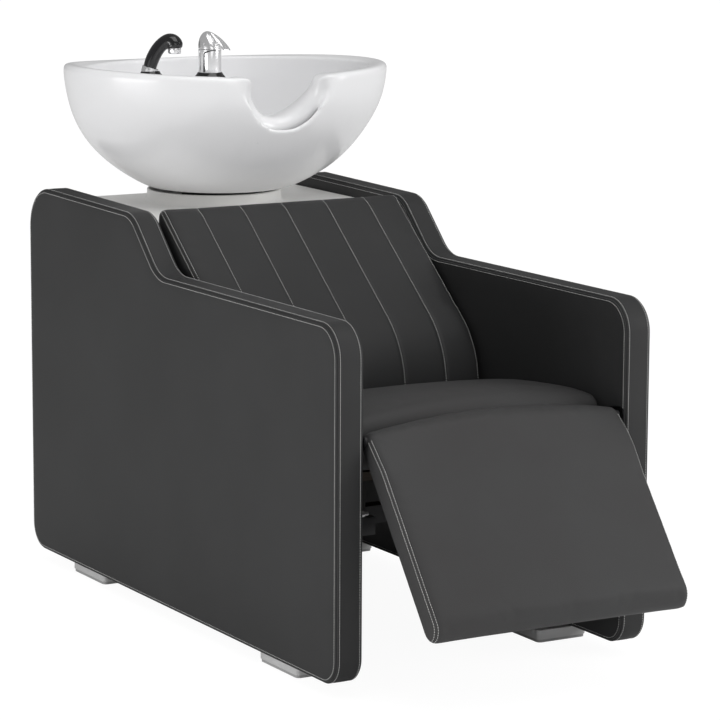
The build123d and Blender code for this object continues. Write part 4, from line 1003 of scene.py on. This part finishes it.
mixer_foot = foot_of("mixer_ring")
MIXER_FLARE = (
    (28.6, 0.0), (29.0, 0.6), (28.9, 2.2), (27.8, 4.2), (26.0, 6.4),
    (24.4, 8.4), (23.2, 10.4), (22.6, 11.6), (22.0, 12.0), (21.2, 12.0),
)
ring = lathe("mixer_flare", MIXER_FLARE, mixer_foot, turns=72)
dress(ring, "basin", "black_gloss", "mixer_ring")

# The lever cap in mm, forward from the mixer's axis: circles that its outline is drawn round, and its crown
CAP_CIRCLES = ((4.0, 21.4), (24.0, 13.4), (33.2, 8.6))
CAP_CROWN = -4.0
CAP_OVERLAP = 0.7
TIP_DROP = 4.0
# How its side view falls from the crown, and how round it ends: at the heel, and what is taken off at the tip
CAP_FALL, CAP_ROUND = (2.1, 0.5), (2.3, 1.05)
# The loops pressed into its sides: their middle forward and up, tilt as cosine and sine, half length and half height
LOOP_MIDDLE = (9.0, 17.5)
LOOP_TILT = (0.64, 0.77)
LOOP_HALF = (15.5, 7.2)
# One inside the other as shares of those halves, their width and depth, and where they end to the middle and forward
LOOP_SHARES, LOOP_WIDTH, LOOP_DEPTH = (0.42, 0.76, 1.1), 0.10, 0.45
LOOP_SIDE, LOOP_END, LOOP_FADE = 5, 22, 6


def cap_reach(way):
    """Distance from the cap's crown to its outline: a round body drawn out to a small round tip."""
    best = 0.0
    for offset, radius in CAP_CIRCLES:
        along = way[0] * offset
        inside = radius**2 - (offset**2 - along**2)
        if inside > 0:
            best = max(best, along + math.sqrt(inside))
    return best


def lever_cap():
    """Chrome cap over the mixer: round heel, crown behind the middle, slope to a rounded tip, looped relief."""
    low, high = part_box("mixer_lever")
    rise = high.z - low.z
    rings, turns = 44, 120
    points = []
    for ring_index in range(rings + 1):
        share = math.sin(math.pi / 2 * ring_index / rings)
        for k in range(turns):
            angle = 2 * math.pi * k / turns
            way = np.array([math.cos(angle), math.sin(angle)])
            outline = cap_reach(way)
            fore = 0.5 + 0.5 * way[0]
            fall, end = CAP_FALL[0] - CAP_FALL[1] * fore, CAP_ROUND[0] - CAP_ROUND[1] * fore
            height = rise / MM * (1 - share**fall) ** (1 / end)
            points.append([CAP_CROWN + way[0] * outline * share, way[1] * outline * share, height])
    points = np.array(points)
    along, across, height = points.T
    ahead, above = along - LOOP_MIDDLE[0], height - LOOP_MIDDLE[1]
    tilt_cos, tilt_sin = LOOP_TILT
    major = (tilt_cos * ahead - tilt_sin * above) / LOOP_HALF[0]
    minor = (tilt_sin * ahead + tilt_cos * above) / LOOP_HALF[1]
    away = np.hypot(major, minor)
    groove = sum(np.exp(-(((away - loop) / LOOP_WIDTH) ** 2)) for loop in LOOP_SHARES)
    sunk = LOOP_DEPTH * groove * (np.abs(across) > LOOP_SIDE) * np.clip((LOOP_END - along) / LOOP_FADE, 0, 1)
    outward = points - np.array([CAP_CROWN, 0.0, 4.0])
    outward /= np.maximum(np.linalg.norm(outward, axis=1, keepdims=True), 1e-6)
    points -= outward * sunk[:, None]
    points[:, 2] -= TIP_DROP * np.clip((points[:, 0] + 2) / 40, 0, 1)
    base = Vector((mixer_foot.x, mixer_foot.y, low.z - CAP_OVERLAP * MM))
    placed = [base + ahead_of * p[0] * MM + across_of * p[1] * MM + Vector((0, 0, p[2] * MM)) for p in points]
    cap = closed_mesh("mixer_cap", placed, ring_faces(rings + 1, turns, first_cap=False))
    work = bmesh.new()
    work.from_mesh(cap.data)
    bmesh.ops.remove_doubles(work, verts=work.verts, dist=0.02 * MM)
    bmesh.ops.recalc_face_normals(work, faces=work.faces)
    work.to_mesh(cap.data)
    work.free()
    smooth_shading(cap, 50)
    return dress(cap, body_of["mixer_lever"], "chrome", "mixer_lever")


lever_cap()

# The dark seam on the mixer's body: up from its foot, then turning away under the cap
BODY_RADIUS = 21.2
SEAM_FOOT, SEAM_RISE, SEAM_TURN_RISE = 13, 34, 6.5
SEAM_SIDE, SEAM_SWING = math.radians(-147), math.radians(62)
SEAM_STRAIGHT, SEAM_BEND = 0.72, 1.4
SEAM_RADIUS, SEAM_FLATNESS, SEAM_THINNING = 2.1, 0.35, 0.55


def seam_line():
    """Points of the seam on the mixer's body."""
    line = []
    for k in range(26):
        t = k / 25
        swing = 0.0 if t < SEAM_STRAIGHT else (t - SEAM_STRAIGHT) / (1 - SEAM_STRAIGHT)
        angle = SEAM_SIDE + SEAM_SWING * swing**SEAM_BEND
        height = SEAM_FOOT + SEAM_RISE * min(1, t / SEAM_STRAIGHT) + SEAM_TURN_RISE * math.sin(math.pi / 2 * swing)
        line.append(mixer_foot + Vector((math.cos(angle) * BODY_RADIUS, math.sin(angle) * BODY_RADIUS, height)) * MM)
    return line


def seam_bead(name, path, turns=10):
    """Flat bead on the mixer's body along a path, thinner towards its end."""
    points = []
    for i, (p, ahead) in enumerate(steps_along(path)):
        out = p - mixer_foot
        out.z = 0
        out.normalize()
        side = ahead.cross(out).normalized()
        thin = SEAM_RADIUS * MM * (1 - SEAM_THINNING * i / len(path))
        for k in range(turns):
            angle = 2 * math.pi * k / turns
            points.append(p + (side * math.cos(angle) + out * math.sin(angle) * SEAM_FLATNESS) * thin)
    return closed_mesh(name, points, ring_faces(len(path), turns))


seam = seam_bead("mixer_seam", seam_line())
smooth_shading(seam)
dress(seam, "basin", "black_gloss")

SPRAY_FLARE = (
    (23.4, 0.0), (24.0, 0.5), (23.8, 1.6), (22.4, 3.4), (20.2, 5.6),
    (18.4, 8.0), (17.4, 10.0), (16.6, 10.8), (15.4, 11.2),
)
flange = lathe("spray_flare", SPRAY_FLARE, foot_of("spray_holder"))


def curve_through(marks, parts=8):
    """Smooth run of rows through the given rows, by a cubic between each two that keeps the slope at both."""
    marks = np.array(marks, float)
    padded = np.vstack([2 * marks[0] - marks[1], marks, 2 * marks[-1] - marks[-2]])
    run = []
    for a, b, c, d in zip(padded, padded[1:], padded[2:], padded[3:]):
        for k in range(parts):
            t = k / parts
            run.append(
                0.5 * (2 * b + (c - a) * t + (2 * a - 5 * b + 4 * c - d) * t**2 + (3 * b - a - 3 * c + d) * t**3)
            )
    run.append(marks[-1])
    return np.array(run)


# Forward, up and radius of the hand spray in mm: a leaning grip that swells into a head turned down
GRIP_MARKS = (
    (0.5, 1.0, 12.0),
    (1.8, 6.5, 12.3),
    (4.6, 15.0, 12.6),
    (8.6, 24.0, 12.6),
    (13.8, 33.0, 12.5),
    (20.0, 41.0, 12.4),
    (27.2, 47.2, 12.6),
    (34.6, 50.0, 14.0),
    (40.8, 48.4, 15.8),
    (44.6, 43.8, 16.6),
    (45.8, 39.6, 15.6),
    (46.0, 37.5, 13.0),
)
GRIP_SUNK = 6
collar_low, collar_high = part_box("spray_collar")
grip_start = (collar_low + collar_high) / 2
grip_start.z = collar_high.z - GRIP_SUNK * MM
grip_run = curve_through(GRIP_MARKS)
path = [grip_start + ahead_of * a * MM + Vector((0, 0, b * MM)) for a, b, _ in grip_run]
grip = remeshed(swept("spray_handle", path, [radius * MM for _, _, radius in grip_run]), 0.9 * MM, 4, 0.5)
smooth_shading(grip)
down = Vector((0, 0, -1))
NOZZLE = ((9.0, -6.0), (11.2, -5.0), (12.2, -1.0), (12.2, 8.2), (11.7, 9.8), (10.8, 10.4), (10.0, 10.4), (9.7, 9.4))
nozzle = lathe("spray_tip", NOZZLE, path[-1], down, 56)
face = lathe("spray_face", ((9.6, 8.0), (9.6, 9.7), (9.0, 10.0)), path[-1], down, 40)
dress(flange, body_of["spray_holder"], "black_gloss", "spray_holder")
dress(grip, body_of["spray_grip"], "black_gloss", "spray_grip")
dress(nozzle, body_of["spray_nozzle"], "chrome", "spray_nozzle")
dress(face, body_of["spray_nozzle"], "black_gloss")


# Studio
WHITE_STRENGTH = 1.1
FLOOR_WHITE = 0.86
SKY_STRENGTH, SKY_MIRRORED = 0.66, 0.26


def floor(name, size, material):
    """Square floor at the object's feet."""
    mesh = bpy.data.meshes.new(name)
    half = size / 2
    mesh.from_pydata(
        [(-half, -half, 0), (half, -half, 0), (half, half, 0), (-half, half, 0)], [], [(0, 1, 2, 3)]
    )
    obj = link(name, mesh)
    mesh.materials.append(material)


def seen_white(tree, shader_output, output_socket, amount):
    """Shows plain white to the camera, by that share, over the lit shader."""
    rays = tree.nodes.new("ShaderNodeLightPath")
    most = tree.nodes.new("ShaderNodeMath")
    most.operation = "MAXIMUM"
    tree.links.new(rays.outputs["Is Camera Ray"], most.inputs[0])
    tree.links.new(rays.outputs["Is Transmission Ray"], most.inputs[1])
    share = tree.nodes.new("ShaderNodeMath")
    share.operation = "MULTIPLY"
    share.inputs[1].default_value = amount
    tree.links.new(most.outputs[0], share.inputs[0])
    mix = tree.nodes.new("ShaderNodeMixShader")
    tree.links.new(share.outputs[0], mix.inputs[0])
    tree.links.new(shader_output, mix.inputs[1])
    white = tree.nodes.new("ShaderNodeEmission" if amount < 1 else "ShaderNodeBackground")
    white.inputs["Color"].default_value = (1, 1, 1, 1)
    white.inputs["Strength"].default_value = WHITE_STRENGTH
    tree.links.new(white.outputs[0], mix.inputs[2])
    tree.links.new(mix.outputs[0], output_socket)


floor_paint = bpy.data.materials.new("studio floor")
floor_paint.use_nodes = True
floor_shader = floor_paint.node_tree.nodes["Principled BSDF"]
floor_shader.inputs["Base Color"].default_value = (0.9, 0.9, 0.9, 1)
floor_shader.inputs["Roughness"].default_value = 0.9
seen_white(
    floor_paint.node_tree,
    floor_shader.outputs[0],
    floor_paint.node_tree.nodes["Material Output"].inputs["Surface"],
    FLOOR_WHITE,
)
floor("studio_floor", 40, floor_paint)

world = bpy.data.worlds.new("studio")
bpy.context.scene.world = world
world.use_nodes = True
world_tree = world.node_tree
sky = world_tree.nodes["Background"]
sky.inputs["Color"].default_value = (1, 1, 1, 1)
sky.inputs["Strength"].default_value = SKY_STRENGTH
mirrored = world_tree.nodes.new("ShaderNodeBackground")
mirrored.inputs["Color"].default_value = (1, 1, 1, 1)
mirrored.inputs["Strength"].default_value = SKY_MIRRORED
kinds = world_tree.nodes.new("ShaderNodeLightPath")
either = world_tree.nodes.new("ShaderNodeMixShader")
world_tree.links.new(kinds.outputs["Is Glossy Ray"], either.inputs[0])
world_tree.links.new(sky.outputs[0], either.inputs[1])
world_tree.links.new(mirrored.outputs[0], either.inputs[2])
seen_white(world_tree, either.outputs[0], world_tree.nodes["World Output"].inputs["Surface"], 1.0)


def soft_light(name, where, aim, width, height, power):
    """Oblong area light at a place, turned to its aim."""
    lamp = bpy.data.lights.new(name, "AREA")
    lamp.shape = "RECTANGLE"
    lamp.size, lamp.size_y = width, height
    lamp.energy = power
    obj = bpy.data.objects.new(name, lamp)
    bpy.context.scene.collection.objects.link(obj)
    obj.location = where
    obj.rotation_euler = (Vector(aim) - Vector(where)).to_track_quat("-Z", "Y").to_euler()


soft_light("overhead", (0.2, -1.2, 3.3), (0, -0.2, 0.4), 2.4, 2.4, 32)
soft_light("front", (-0.4, -3.8, 1.6), (0, 0, 0.45), 2.0, 1.6, 9)
soft_light("left", (-3.4, -0.9, 0.9), (0, 0, 0.5), 1.8, 1.2, 4)
soft_light("low left", (-3.4, -0.6, 0.35), (0, 0, 0.5), 2.4, 0.5, 24)
soft_light("right", (3.0, -2.4, 1.6), (0, 0, 0.4), 1.8, 1.8, 38)

shot = bpy.data.cameras.new("camera")
camera = bpy.data.objects.new("camera", shot)
bpy.context.scene.collection.objects.link(camera)
azimuth, elevation, roll = math.radians(-29.97), math.radians(9.95), math.radians(-0.27)
toward_camera = Vector(
    (
        math.sin(azimuth) * math.cos(elevation),
        -math.cos(azimuth) * math.cos(elevation),
        math.sin(elevation),
    )
)
target = Vector((-0.1133, FRONT + 0.2657, 0.5171))
CAMERA_DISTANCE = 5.668
FOCAL_PIXELS, PHOTO_PIXELS = 3295.34, 720
shot.sensor_width = 36
shot.lens = shot.sensor_width * FOCAL_PIXELS / PHOTO_PIXELS
shot.clip_end = 100
camera.matrix_world = (
    Matrix.Translation(target + toward_camera * CAMERA_DISTANCE)
    @ Matrix.Rotation(roll, 4, -toward_camera)
    @ (-toward_camera).to_track_quat("-Z", "Y").to_matrix().to_4x4()
)
bpy.context.scene.camera = camera
bpy.context.scene.view_settings.view_transform = "Standard"
